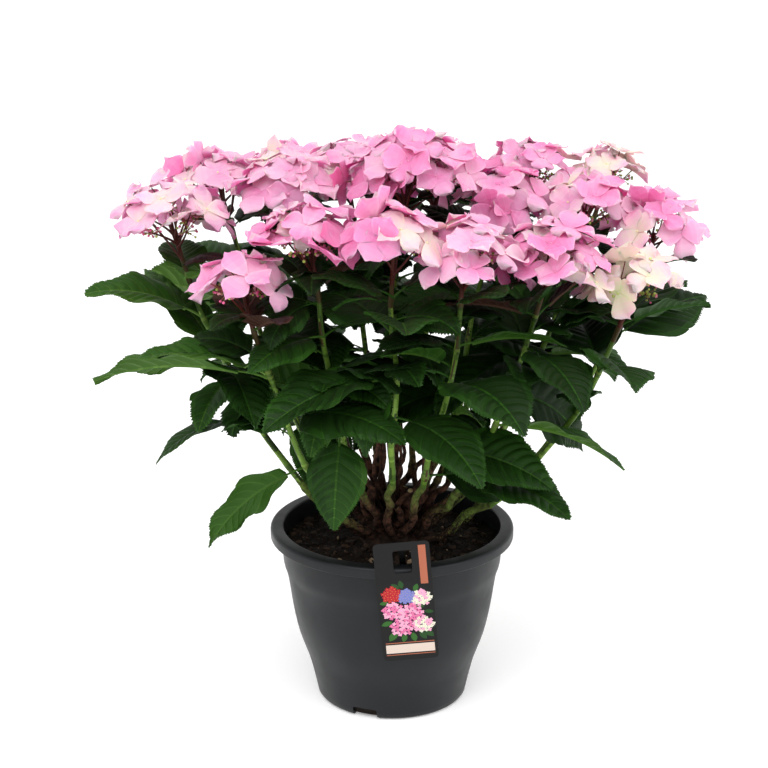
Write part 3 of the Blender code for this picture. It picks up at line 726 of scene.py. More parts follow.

# ---- Leaves -------------------------------------------------------------------------------------
# Opposite pairs from under the flower head down, broad, pointed and coarsely toothed. Their waxy
# skin has a low sheen, broken by sunken side veins and the quilted blade between them. Under a
# head some are bronze, and painted shade makes them nearly black there; painted light makes them
# lighter green low down and outside.

# The rule for florets and leaves, its seed and its tables are the solids' own. A floret or leaf
# that had no room there is known by its missing tips, and the next try is taken.
DOME_RISE = 0.85
DOME_EDGE = math.radians(84)
FLORET_AREA = 0.0022
FLORET_RADIUS = 0.0250
FLORET_CUP = 0.004
FLORET_INSET = 0.008
# leaf pairs from the top down: distance below the head, blade length, elevation and droop
LEAF_PAIRS = [
    (0.052, 0.078, 26, 26),
    (0.105, 0.110, 24, 38),
    (0.160, 0.130, 14, 46),
    (0.215, 0.126, 2, 52),
    (0.268, 0.112, -10, 52),
]
# Leaves that stand out of the crown: shoot, distance below its head, azimuth, elevation, droop,
# roll and blade length. They take their places before the pairs do.
OUTER_LEAVES = [
    ("low_left", 0.105, 174, 11, 31, -20, 0.156),
    ("left", 0.245, 192, 32, 36, -70, 0.122),
    ("low_left", 0.230, 204, -15, 44, -52, 0.117),
    ("left_back", 0.144, 171, 21, 23, -60, 0.125),
    ("far_left", 0.158, 134, 41, 19, -15, 0.125),
    ("far_left", 0.245, 205, 8, 55, -12, 0.108),
    ("front_left", 0.219, 260, -58, 24, 2, 0.095),
    ("right_front", 0.154, 21, -20, 42, -68, 0.125),
    ("front_right", 0.235, 348, -4, 30, -25, 0.114),
    ("right_front", 0.200, 340, 5, 45, 17, 0.125),
    ("right_front", 0.280, 325, 10, 40, -5, 0.115),
    ("front_right", 0.280, 30, -5, 20, -50, 0.110),
    ("right_inner", 0.170, 330, 15, 40, 17, 0.100),
    ("far_right", 0.130, 40, 20, 22, -15, 0.135),
    ("far_right", 0.047, 244, -1, 24, -41, 0.130),
]
LEAF_WIDTH = 0.60
LEAF_STATIONS = (0.0, 0.30, 0.64)
PETIOLE = 0.20
# what a leaf tries in turn where there is no room: more turn, more pitch, share of its length
TRIES = [(0, 0, 1), (18, 0, 1), (-18, 0, 1), (0, 16, 1), (0, -16, 1), (30, 8, 0.9), (-30, 8, 0.9),
         (12, -10, 0.75), (-12, 14, 0.75), (0, 0, 0.6)]

solid_points = {}
for name in HEADS:
    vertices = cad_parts[f"shoot_{name}"].data.vertices
    solid_points[name] = KDTree(len(vertices))
    for number, vert in enumerate(vertices):
        solid_points[name].insert(vert.co, number)
    solid_points[name].balance()


def in_solid(name, point):
    """Whether a shoot's solid has a corner here."""
    return solid_points[name].find(point)[2] < 0.0005


def level_way(angle):
    """The level direction at an angle round the plant."""
    return Vector((math.cos(angle), math.sin(angle), 0))


def leaf_tip(foot, azimuth, elevation, droop, roll, length):
    """The tip of the solids' leaf."""
    plan = level_way(azimuth)

    def ahead_at(share):
        pitch = elevation - droop * share
        return plan * math.cos(pitch) + UP * math.sin(pitch)

    centre, last = foot + PETIOLE * length * ahead_at(0), 0.0
    for along in LEAF_STATIONS:
        centre = centre + (along - last) * length * ahead_at((along + last) / 2)
        last = along
    return centre + (1 - last) * length * ahead_at(1)


def down_dome(radius, hem, share=1):
    """Even places from the top of a dome down to its hem: tilt from straight up, and angle."""
    count = round(math.tau * radius**2 * (1 - math.cos(hem)) / FLORET_AREA * share)
    return [(math.acos(1 - (number + 0.5) / count * (1 - math.cos(hem))), number * GOLDEN_ANGLE)
            for number in range(count)]


rngs = {name: Random(f"{SEED} {name}") for name in HEADS}
florets = []
for name, head in heads.items():
    radius, rng = HEADS[name][3], rngs[name]
    for tilt, angle in down_dome(radius, DOME_EDGE):
        outward = level_way(angle + rng.uniform(-0.25, 0.25))
        size = rng.uniform(0.88, 1.08)
        lean = rng.uniform(-0.2, 0.2)
        spin = rng.uniform(0, math.tau)
        for pull in (1, 0.9, 0.8):
            centre = head + pull * (radius - FLORET_INSET) * (
                math.sin(tilt) * outward + DOME_RISE * math.cos(tilt) * UP)
            facing = (outward * math.sin(tilt) + UP * (math.cos(tilt) + 0.80 + lean)).normalized()
            side = Matrix.Rotation(spin, 3, facing) @ facing.orthogonal().normalized()
            tips = [centre + size * (FLORET_RADIUS * (Matrix.Rotation(k * math.pi / 2, 3, facing)
                                                      @ side) + FLORET_CUP * facing)
                    for k in range(4)]
            if sum(in_solid(name, tip) for tip in tips) > 1:
                florets.append((name, centre, facing, spin, size))
                break
leaves, leaf_nodes = [], {name: [] for name in HEADS}


def grown_leaf(name, level, foot, azimuth, elevation, droop, roll, length, tries):
    """The try at a leaf that the solid has, in a list, or none."""
    for more_turn, more_pitch, shrink in tries:
        leaf = (foot, math.radians(azimuth + more_turn), math.radians(elevation + more_pitch),
                math.radians(droop), roll, length * shrink)
        if in_solid(name, leaf_tip(*leaf)):
            return [(name, level, leaf)]
    return []


for name, below, azimuth, elevation, droop, roll, length in OUTER_LEAVES:
    t = limbs[name].below_head(below)
    level = min(range(5), key=lambda number: abs(LEAF_PAIRS[number][0] - below))
    leaf_nodes[name].append(t)
    leaves += grown_leaf(name, level, limbs[name].at(t), azimuth, elevation, droop,
                         math.radians(roll), length, TRIES[:5])
for level, (below, length, elevation, droop) in enumerate(LEAF_PAIRS):
    for name, (*_, turn, pairs) in HEADS.items():
        if level >= pairs:
            continue
        limb, rng = limbs[name], rngs[name]
        t = limb.below_head(below + rng.uniform(-0.008, 0.008))
        size = rng.uniform(0.9, 1.08)
        if t < BOUGH_SHARE + 0.02:
            continue
        leaf_nodes[name].append(t)
        for facing in (0, 180):
            swing = rng.uniform(-12, 12)
            pitch = rng.uniform(-8, 8)
            roll = math.radians(rng.uniform(-20, 20))
            azimuth = turn + 90 * level + facing + swing
            leaves += grown_leaf(name, level, limb.at(t), azimuth, elevation + pitch, droop, roll,
                                 length * size, TRIES)


def sheet(rows, columns, fine_sides=False):
    """A closed sheet in whole steps, rows along Y and columns across X: its upper skin at height
    0 and its lower skin at -1. Fine sides have a point halfway along each step."""
    shape = bmesh.new()
    bmesh.ops.create_grid(shape, x_segments=2 * columns, y_segments=rows, size=1)
    bmesh.ops.translate(shape, verts=shape.verts, vec=(0, 1, 0))
    bmesh.ops.scale(shape, verts=shape.verts, vec=(columns, rows / 2, 1))
    if fine_sides:
        bmesh.ops.subdivide_edges(shape, cuts=1, edges=[
            edge for edge in shape.edges
            if all(abs(vert.co.x) > columns - 0.1 for vert in edge.verts)])
    under = bmesh.ops.duplicate(shape, geom=shape.verts[:] + shape.edges[:] + shape.faces[:])["geom"]
    bmesh.ops.reverse_faces(shape, faces=[f for f in under if isinstance(f, bmesh.types.BMFace)])
    for vert in under:
        if isinstance(vert, bmesh.types.BMVert):
            vert.co.z = -1
    bmesh.ops.bridge_loops(shape, edges=[edge for edge in shape.edges if edge.is_boundary])
    bmesh.ops.recalc_face_normals(shape, faces=shape.faces[:])
    return arrays(shape)


class LeafPattern:
    """Where each point of a leaf lies on its blade, and what each triangle shows, worked out once.

    Rows lie along the veins and between them, and columns from the midrib to the toothed edge.
    """

    def __init__(self, veins, columns, between):
        vein_half = 0.0384 / veins  # half a side vein's width, as a share of the blade's length
        places = [0.095 + 0.86 * (k / veins) ** 0.96 for k in range(veins + 1)]
        rows, quilt, in_vein = [0, 0.045], [0, 0.6], []
        for here, after in zip(places, places[1:]):
            in_vein.append(len(rows))
            rows += [here - vein_half, here + vein_half]
            rows += [here + share * (after - here) for share in between]
            quilt += [-0.35, -0.35] + [1.0, 0.85][:len(between)]
        rows += [0.982, 1.0]
        quilt += [0, 0]
        points, self.faces = sheet(len(rows) - 1, len(columns) - 1, True)
        index = np.arange(len(rows))
        u = np.interp(points[:, 1], index, rows)
        self.a = np.interp(np.abs(points[:, 0]), range(len(columns)), columns)
        self.side = np.sign(points[:, 0])
        self.under = points[:, 2] < -0.5
        steps = np.diff(rows)
        step = steps[np.minimum(points[:, 1].astype(int), len(steps) - 1)]
        self.tooth = np.where(np.mod(points[:, 1], 1) > 0.25, step, 0)
        self.quilt = np.interp(points[:, 1], index, quilt) * np.interp(
            self.a, (0, 0.04, 0.25, 0.8, 1), (0, 0.15, 1, 0.9, 0.3))
        # side veins arch forward, so the rows that follow them do too
        self.s = u + 0.40 * (1 - u) * np.minimum(1, u / 0.28) * (0.62 * self.a + 0.38 * self.a**2)
        self.outline = self.s**0.66 * (1 - np.minimum(self.s, 0.9999))**1.12 / 0.3070
        centres = points[self.faces].mean(axis=1)
        self.row = np.minimum(np.floor(centres[:, 1]).astype(int), len(rows) - 1)
        self.rows = len(rows)
        self.strip = np.floor(centres[:, 0]) / len(columns)
        self.face_under = centres[:, 2] < -0.5
        self.vein = np.isin(self.row, in_vein)
        self.midrib = np.abs(centres[:, 0]) < 1
        self.rim = np.abs(centres[:, 0]) > len(columns) - 2


LEAF_SKIN = 0.00035
# how deep the teeth are cut, how high the blade swells between veins, and on a blade's underside
# how far the midrib stands out; its upper side has a groove over it
TOOTH_DEPTH, QUILT_RISE, MIDRIB_RIDGE, MIDRIB_GROOVE = 0.0022, 0.0018, 0.0016, 0.0007
full_leaf = LeafPattern(8, (0, 0.026, 0.20, 0.42, 0.64, 0.85, 1), (0.36, 0.70))
small_leaf = LeafPattern(6, (0, 0.035, 0.40, 0.75, 1), (0.5,))


def blade(leaf, rng, pattern):
    """A leaf blade's points, from where it stands, and a random source for its own curves."""
    foot, azimuth, elevation, droop, roll, length = leaf
    plan = np.array((math.cos(azimuth), math.sin(azimuth), 0))
    up = np.array((0, 0, 1.0))
    stations = np.linspace(0, 1, 41)
    curl = rng.uniform(-0.12, 0.30)
    pitch = elevation - droop * (stations + curl * (stations**3 - 0.3 * stations))
    swerve = rng.uniform(-0.10, 0.10)
    square = np.cross(plan, up)
    ahead = (np.outer(np.cos(pitch), plan) + np.outer(np.sin(pitch), up)
             + np.outer(swerve * stations, square))
    ahead /= np.linalg.norm(ahead, axis=1, keepdims=True)
    middle = np.cumsum(ahead, axis=0) * length / 40
    middle += np.array(foot) + PETIOLE * length * ahead[0] - middle[0]
    twist = roll + rng.uniform(-0.25, 0.25) * stations
    rise = np.cross(square, ahead)
    side = np.cos(twist)[:, None] * square + np.sin(twist)[:, None] * rise
    side -= np.sum(side * ahead, axis=1, keepdims=True) * ahead
    side /= np.linalg.norm(side, axis=1, keepdims=True)
    rise = np.cross(side, ahead)
    s, a = pattern.s, pattern.a

    def along(values):
        return np.stack([np.interp(s, stations, values[:, k]) for k in range(3)], axis=1)

    half = LEAF_WIDTH * length / 2 * rng.uniform(0.96, 1.12)
    reach = a * (half * pattern.outline + 0.0008) + 0.0004
    tooth = np.minimum(TOOTH_DEPTH, 0.44 * pattern.tooth * length)
    reach = np.where(a > 0.99, reach + tooth, np.where(a < 0.01, 0, reach))
    fold, arch = rng.uniform(0.18, 0.46), rng.uniform(0.14, 0.36)
    wave, phase = rng.uniform(0.0012, 0.0036) * length / 0.12, rng.uniform(0, math.tau)
    lift = reach * (fold - arch * a)
    lift += wave * a**2 * np.sin(math.tau * 2.6 * s + phase + 1.9 * pattern.side)
    lift += QUILT_RISE * (length / 0.13) * pattern.quilt * np.sin(math.pi * np.clip(s, 0, 1))**0.4
    lift -= np.where(a < 0.01, MIDRIB_GROOVE, 0) * (1 - s)
    ridge = np.where(a < 0.01, MIDRIB_RIDGE * (1.05 - s), 0)
    lift -= np.where(pattern.under, LEAF_SKIN + ridge, 0)
    points = along(middle) + (pattern.side * reach)[:, None] * along(side)
    points += lift[:, None] * along(rise)
    return points + (0.8 * tooth * (a > 0.99))[:, None] * along(ahead)


LEAF_GREENS = ("#070F05", "#0A1407", "#0E1D09", "#13270B", "#19320E", "#1F3D11", "#264914",
               "#2D4F17", "#3A5B1F", "#486A28", "#587935", "#6D8B46", "#88A35C")
LEAF_BRONZES = ("#120A0A", "#1B1010", "#271714", "#36221B", "#49342A")
# a leaf's tone by its rank below the head, darker near the head as painted shade, how much
# lighter the parts of it are, and painted light: how much lighter a leaf outside or high on the left is
LEAF_TONES_PAINTED_SHADE = (2.6, 3.2, 4.0, 4.5, 5.0)
VEIN_LIGHTER, MIDRIB_LIGHTER, EDGE_LIGHTER, UNDERSIDE_LIGHTER = 1.3, 2.4, 1.0, 2.4
OUTER_PAINTED_LIGHT, HIGH_LEFT_PAINTED_LIGHT = 0.9, 2.5
BRONZED = {"top": 0.9, "low_left": 0.8, "back_left": 0.5, "left": 0.4}


def leaf_shades(tone, bronze, rng, pattern):
    """The material of each triangle of a leaf: a tone, with its veins and underside lighter."""
    shade = tone + VEIN_LIGHTER * pattern.vein + MIDRIB_LIGHTER * pattern.midrib
    shade = shade + EDGE_LIGHTER * pattern.rim + rng.uniform(-0.8, 0.8) * pattern.strip
    under = tone + UNDERSIDE_LIGHTER + np.where(pattern.vein | pattern.midrib, 1.2, 0)
    shade = np.where(pattern.face_under, under, shade)
    shade = shade + np.array([rng.uniform(-0.25, 0.25) for _ in range(pattern.rows)])[pattern.row]
    if bronze:
        return len(LEAF_GREENS) + np.clip(np.rint(shade * 0.6), 0, len(LEAF_BRONZES) - 1)
    return np.clip(np.rint(shade), 0, len(LEAF_GREENS) - 1)


leaf_finishes = []
for kind, colours in (("green", LEAF_GREENS), ("bronze", LEAF_BRONZES)):
    for number, colour in enumerate(colours):
        skin, shader = finish(f"leaf_{kind}_{number}", colour, 0.50, 0.11)
        place = add(skin, "ShaderNodeTexCoord").outputs["Object"]
        mesh_veins = add(skin, "ShaderNodeTexVoronoi", {"Vector": place, "Scale": 330.0},
                         feature="DISTANCE_TO_EDGE")
        bump = add(skin, "ShaderNodeBump",
                   {"Height": mesh_veins.outputs["Distance"], "Distance": 0.0006, "Strength": 0.5})
        skin.node_tree.links.new(bump.outputs["Normal"], shader.inputs["Normal"])
        leaf_finishes.append(skin)

petiole_rod = rod(6, 9)
PETIOLE_RADII = (0.0023, 0.0016, 0.0012)
STALK_LIGHTER = 3.4


def bowed(start, bend, end, count):
    """A run of points from start to end, drawn towards the bend on its way."""
    return [start.lerp(bend, t).lerp(bend.lerp(end, t), t) for t in np.linspace(0, 1, count)]


def part_of_plant(name):
    """Which joined piece a shoot's foliage goes to, by where its flower head stands."""
    x, y = HEADS[name][:2]
    return ("back_" if y > 0.05 else "front_") + ("left" if x < 0.01 else "right")


def add_leaf(name, leaf, tone, bronze, pattern):
    """One blade with its stalk, added to its part of the plant."""
    foot, azimuth, elevation, droop, roll, length = leaf
    place = leaf_parts.setdefault(part_of_plant(name), [])
    place.append((blade(leaf, own, pattern), pattern.faces, leaf_shades(tone, bronze, own, pattern)))
    ahead = level_way(azimuth) * math.cos(elevation) + UP * math.sin(elevation)
    base = foot + PETIOLE * length * ahead
    bend = foot + PETIOLE * length * (0.45 * ahead + 0.10 * UP)
    run = bowed(foot, bend, base + 0.004 * ahead, 9)
    radii = np.interp(np.linspace(0, 1, 9), (0, 0.15, 1), PETIOLE_RADII)
    place.append((*laid(petiole_rod, run, radii * min(1, length / 0.09)),
                  min(11, max(5, round(tone + STALK_LIGHTER)))))


leaf_parts = {}
for name, level, leaf in leaves:
    tip = leaf_tip(*leaf)
    outside = min(1, math.hypot(tip.x, tip.y) / 0.30)
    high_left = tip.x < -0.18 and tip.z > 0.40
    # painted shade and light: darker by rank near the head, lighter outside and high on the left
    tone = LEAF_TONES_PAINTED_SHADE[level] + OUTER_PAINTED_LIGHT * outside**2 - 0.5
    tone += HIGH_LEFT_PAINTED_LIGHT * high_left + own.gauss(0, 0.7)
    add_leaf(name, leaf, tone, level == 0 and own.random() < BRONZED.get(name, 0.15), full_leaf)

# Short side shoots stand at the stem's nodes and between them, each with a small leaf. They fill
# the middle of the plant, and none of them reaches as far out as the pairs. Distance below the
# head, how many, blade lengths and elevations:
SIDE_LEAVES = [
    (0.034, 2, (0.050, 0.066), (8, 34)), (0.078, 2, (0.055, 0.080), (-15, 35)),
    (0.132, 2, (0.055, 0.085), (-30, 40)), (0.185, 2, (0.050, 0.080), (-25, 45)),
    (0.240, 1, (0.040, 0.065), (-10, 45)),
]
SIDE_REACH = (0.215, 0.24)
SIDE_LOWEST = 0.335
for name, limb in limbs.items():
    for rank, (below, count, lengths, elevations) in enumerate(SIDE_LEAVES):
        for _ in range(count):
            t = limb.below_head(below + own.uniform(-0.015, 0.015))
            azimuth = own.uniform(0, math.tau)
            leaf = (limb.at(t), azimuth, math.radians(own.uniform(*elevations)),
                    math.radians(own.uniform(30, 65)), own.uniform(-0.5, 0.5), own.uniform(*lengths))
            tip = leaf_tip(*leaf)
            if t < BOUGH_SHARE + 0.04 or tip.z < SIDE_LOWEST:
                continue
            if abs(tip.x) > SIDE_REACH[0] or abs(tip.y) > SIDE_REACH[1]:
                continue
            if rank > 0 and any((tip - heads[n]).length < 0.9 * HEADS[n][3] for n in HEADS):
                continue
            # tone by rank, darker near the head as painted shade
            tone = LEAF_TONES_PAINTED_SHADE[min(rank, 3)] - 0.4 + own.gauss(0, 0.8)
            add_leaf(name, leaf, tone, rank == 0 and own.random() < 0.35, small_leaf)
for place, parts in leaf_parts.items():
    piece(f"leaves_{place}", joined(f"leaves_{place}", parts, 62), leaf_finishes,
          [f"shoot_{name}" for name in HEADS if part_of_plant(name) == place])

# ---- Green stems --------------------------------------------------------------------------------
# This year's shoots, grown out of the old wood: smooth and softly shining, light green streaked
# with brown, swollen and paler where each leaf pair stands, and redder under the flower head.
STEM_RADII = (0.0037, 0.0024)
STEM_RINGS = 96
STEM_STREAKS = 44
STEM_COLOURS = ("#2A3E14", "#3F5A1C", "#577628", "#72923A", "#3A2A1C", "#4A231C", "#5A6E2C",
                "#40341B")
WOODY, RED_BROWN, NODE, BROWN = range(4, len(STEM_COLOURS))
stem_rod = rod(10, STEM_RINGS)
stem_centres = stem_rod[0][stem_rod[1]].mean(axis=1)
stem_ring = stem_centres[:, 2].astype(int)
stem_side = np.arctan2(stem_centres[:, 1], stem_centres[:, 0])
stems = []
for number, (name, limb) in enumerate(limbs.items()):
    shares = np.linspace(BOUGH_SHARE - 0.012, 1, STEM_RINGS)
    radii = np.interp(shares, (BOUGH_SHARE, 1), STEM_RADII)
    marks = [(t, 0.28) for t in leaf_nodes[name]] + [(BOUGH_SHARE + 0.05, 0.12)]
    near_node = np.zeros(STEM_RINGS)
    for t, swell in marks:
        bulge = np.exp(-((shares - t) / 0.012) ** 2)
        radii *= 1 + swell * bulge
        near_node = np.maximum(near_node, bulge * (swell > 0.2))
    radii[0] *= 0.6
    shade = np.rint(np.interp(shares, (BOUGH_SHARE, 0.45, 0.7, 0.9), (1.2, 2.6, 1.8, 0.4))
                    + [own.uniform(-0.5, 0.5) for _ in shares]).clip(0, 3)
    shade[near_node > 0.90] = NODE
    if math.hypot(*HEADS[name][:2]) < 0.6 * furthest:
        shade[shares < BOUGH_SHARE + own.uniform(0.06, 0.14)] = BROWN
        shade[shares < BOUGH_SHARE + own.uniform(0.02, 0.08)] = WOODY
    shade[shares > own.uniform(0.84, 0.90)] = BROWN
    shade[shares > own.uniform(0.90, 0.94)] = RED_BROWN
    skin_shade = shade[np.minimum(stem_ring, STEM_RINGS - 1)]
    for _ in range(STEM_STREAKS):
        side, low, high = own.uniform(-math.pi, math.pi), own.randrange(STEM_RINGS), own.randint(1, 5)
        streak = (np.abs(stem_side - side) < 0.4) & (np.abs(stem_ring - low) < high)
        skin_shade[streak & (skin_shade < WOODY)] = own.choice((0, 0, 1, 3, BROWN))
    run = crooked([limb.at(t) for t in shares], 70 + number, 0.006)
    stems.append((*laid(stem_rod, run, radii), skin_shade))
piece("green_stems", joined("green_stems", stems, 60),
      tones("stem_skin", STEM_COLOURS, 0.50, 0.2, 0.0012, 0.0002),
      [f"shoot_{name}" for name in HEADS])

# ---- Flower heads -------------------------------------------------------------------------------
# Lacecap heads: red-brown branches spread from the top of each stem and carry clusters of tiny
# buds and the florets. A floret has four broad petals round a closed eye, matt and thin enough
# for light to spread in them. They open cream and green and turn pink, each at its own pace.
PETAL_LENGTH = 0.0285
PETAL_ROWS = (0, 0.17, 0.38, 0.60, 0.78, 0.91, 1)
PETAL_WIDTHS = (0.08, 0.24, 0.40, 0.505, 0.505, 0.40, 0.20)
PETAL_SKIN = 0.0003
PETAL_COLUMNS = (0, 0.40, 0.84, 1)
# how much pinker each row is than its petal, from the eye out, and how much more so where young
FADE_ROWS = np.array((-3.6, -2.6, -1.5, -0.6, 0.2, 0.8))
BLUSH_ROWS = np.array((0, 0, 0, 0.3, 0.9, 1.6))
petal_sheet = sheet(len(PETAL_ROWS) - 1, len(PETAL_COLUMNS) - 1)
petal_r = np.interp(petal_sheet[0][:, 1], range(len(PETAL_ROWS)), PETAL_ROWS)
petal_v = np.sign(petal_sheet[0][:, 0]) * np.interp(
    np.abs(petal_sheet[0][:, 0]), range(len(PETAL_COLUMNS)), PETAL_COLUMNS)
petal_w = np.interp(petal_r, PETAL_ROWS, PETAL_WIDTHS)
petal_y = petal_r - 0.13 * np.abs(petal_v)**1.7 * petal_r**2.5
petal_under = petal_sheet[0][:, 2] < -0.5
petal_centres = petal_sheet[0][petal_sheet[1]].mean(axis=1)
petal_face_row = np.clip(np.floor(petal_centres[:, 1]).astype(int), 0, len(PETAL_ROWS) - 2)
petal_face_strip = np.clip(np.floor(petal_centres[:, 0]).astype(int), -3, 2)
petal_face_rim = (np.abs(petal_centres[:, 0]) > 2) | (petal_face_row == len(PETAL_ROWS) - 2)
petal_face_under = petal_centres[:, 2] < -0.25


def petal(rng, upper):
    """A petal's points in its own place: along Y from the floret's eye, facing Z."""
    length = PETAL_LENGTH * rng.uniform(0.86, 1.08)
    width = PETAL_LENGTH * rng.uniform(0.90, 1.12)
    tilt, droop, arch = rng.uniform(0.0, 0.45), rng.uniform(-0.10, 0.48), rng.uniform(-0.30, 0.34)
    pinch, point = rng.uniform(0, 0.45), rng.uniform(0, 0.10)
    x = width * petal_w * petal_v * (1 - pinch * petal_r**5)
    y = length * (petal_y + point * petal_r**6 * np.exp(-(petal_v / 0.35) ** 2))
    z = length * (tilt * petal_r - droop * petal_r**2)
    z -= width * arch * petal_v**2 * petal_r**1.5 * 0.9
    z += length * rng.uniform(0.04, 0.11) * petal_r**2 * np.sin(
        rng.uniform(2.2, 5.2) * petal_v + rng.uniform(0, math.tau))
    z -= length * 0.030 * np.exp(-(petal_v / 0.25) ** 2) * np.sin(math.pi * petal_r)
    z += 0.0012 if upper else 0.0
    z -= np.where(petal_under, PETAL_SKIN, 0)
    return np.stack([x, y, z], axis=1)


PETAL_COLOURS = ("#C8D293", "#CFD4A1", "#D6D5AB", "#DCD4B1", "#E1D1B6", "#E4CEB9", "#E7CBBB",
                 "#E9C8BD", "#EBC5C0", "#ECC0C2", "#EDBCC4", "#EEB8C6", "#EEB1C6", "#EDABC4",
                 "#EBA4C0", "#E99DBD", "#E896BA", "#E890B7", "#E588B2", "#E380AC", "#DF77A5",
                 "#DA6D9D")
HEAD_TONES = {
    "top": 16.5, "front": 15.5, "front_left": 16.5, "front_right": 14.5, "right_front": 14.5,
    "low_left": 14.5, "low_right": 5.5, "far_left": 12.0, "left": 13.5, "right": 15.5,
    "right_inner": 15.0, "far_right": 14.0, "left_back": 13.0, "back_left": 14.0,
    "back_middle": 15.0, "back_right": 14.5, "far_back_right": 9.5, "rear_left": 13.5,
    "rear_middle": 15.0, "rear_right": 14.0,
}
# how much pinker these heads' petals are than their tone, which deals out the young florets
PINKER = {"far_left": 2.4, "low_right": 1.4, "right": 0.8}
EYE_COLOURS = ("#C9D07A", "#EBD9B0", "#E08DB0")
BUD_COLOURS = ("#A8B85A", "#C2828A", "#D9608F", "#7E8F3F")
STALK_COLOURS = ("#4E2420", "#6E352C", "#8A4A3A", "#7C7A3C")

# An outer layer of florets, then a younger, paler one under it: how many for each of the solids'
# florets, share of the dome's radius, and room between two
FLORET_LAYERS = ((5.0, 0.90, 1.20, 0.0245), (3.4, 0.62, 0.86, 0.0235))
# how far round from straight up the florets reach, in degrees: on most heads, and on these
SKIRT = 84
SKIRTS = {"front_left": 92, "front": 90, "front_right": 108, "right_front": 112, "top": 90,
          "right": 100, "right_inner": 98, "left": 92, "low_right": 95}
HEAD_RISE, TOP_RISE = 0.74, 0.64
FULL_SPREAD = 0.27
# how far florets turn off their dome: near its top, and further down
TOP_SWAY, SIDE_SWAY = 0.75, 0.55
young = set()
for layer, (share, nearest, furthest_out, room) in enumerate(FLORET_LAYERS):
    for name in HEADS:
        radius, hem = HEADS[name][3], math.radians(SKIRTS.get(name, SKIRT))
        shift = own.uniform(0, math.tau)
        for tilt, angle in down_dome(radius, hem, share):
            outward = level_way(angle + shift + own.uniform(-0.2, 0.2))
            inner = math.hypot(*(heads[name] + radius * outward)[:2]) < FULL_SPREAD
            pull = own.uniform(nearest, furthest_out if inner else min(1.02, furthest_out))
            rise = TOP_RISE if name == "top" else HEAD_RISE
            centre = heads[name] + pull * (radius - FLORET_INSET) * (
                math.sin(tilt) * outward + rise * math.cos(tilt) * UP)
            mine = (centre - heads[name]).length / radius
            if any(n != name and (centre - heads[n]).length / HEADS[n][3] < min(mine, 1.02)
                   for n in HEADS):
                continue
            if any((centre - c).length < room for _, c, *_ in florets):
                continue
            facing = outward * math.sin(tilt) + UP * (math.cos(tilt) + own.uniform(0.2, 0.7))
            sway = TOP_SWAY if tilt < 0.6 else SIDE_SWAY
            facing = (facing + sway * Vector([own.gauss(0, 1) for _ in range(3)])).normalized()
            if layer:
                young.add(len(florets))
            florets.append((name, centre, facing, own.uniform(0, math.tau),
                            own.uniform(0.66, 0.88) if layer else own.uniform(0.82, 1.06)))

# the share of florets that are young, in the layer below and in the outer one
YOUNG_BELOW, YOUNG_ABOVE = 0.35, 0.08
BRANCH_RADII, THREAD_RADII, BUD_THREAD = (0.0016, 0.0009), (0.00065, 0.00075), 0.00035
BUD_SIZES, BUD_DRIFT = (0.0011, 0.0019), 0.0065
EYE_SIZE = 0.0014
branch_rod, thread_rod, bud_rod = rod(6, 8), rod(4, 7), rod(4, 2)
petal_parts, eyes, buds, stalks = {"front": [], "back": []}, [], [], []
hubs = {}
for name, head in heads.items():
    radius, limb = HEADS[name][3], limbs[name]
    hubs[name] = []
    count = 9 + round(60 * (radius - 0.04))
    for number in range(count):
        angle = math.tau * (number * 0.38 + own.uniform(-0.04, 0.04)) + 0.9
        low = number % 2 == 0 and number > 0
        tilt = math.radians(own.uniform(72, 88) if low else own.uniform(34, 62)) if number else 0.1
        reach = (radius - 0.010) * (own.uniform(0.50, 0.74) if low else own.uniform(0.42, 0.60))
        way = aimed(tilt, angle)
        hub = head + reach * way - 0.006 * UP
        start = limb.at(limb.below_head(own.uniform(0.004, 0.042)))
        bend = start + 0.45 * reach * (way + 0.7 * UP).normalized()
        stalks.append((*laid(branch_rod, bowed(start, bend, hub, 8), np.linspace(*BRANCH_RADII, 8)),
                       own.choice((0, 0, 1))))
        hubs[name].append(hub)
        if number % 2 == 0 or HEAD_TONES[name] < 11:
            for _ in range(own.randint(18, 26) if low else own.randint(9, 15)):
                drift = Vector((own.gauss(0, 1), own.gauss(0, 1), own.gauss(0, 0.5)))
                spot = hub + min(BUD_DRIFT, 0.011 / drift.length) * drift
                size = own.uniform(*BUD_SIZES)
                tone = own.choices(range(4), (3, 3, 4, 1) if HEAD_TONES[name] > 11 else (6, 2, 2, 3))[0]
                buds.append((ball[0] * size + np.array(spot), ball[1], tone))
                stalks.append((*laid(bud_rod, [hub, spot], [BUD_THREAD] * 2), own.choice((1, 2, 3))))
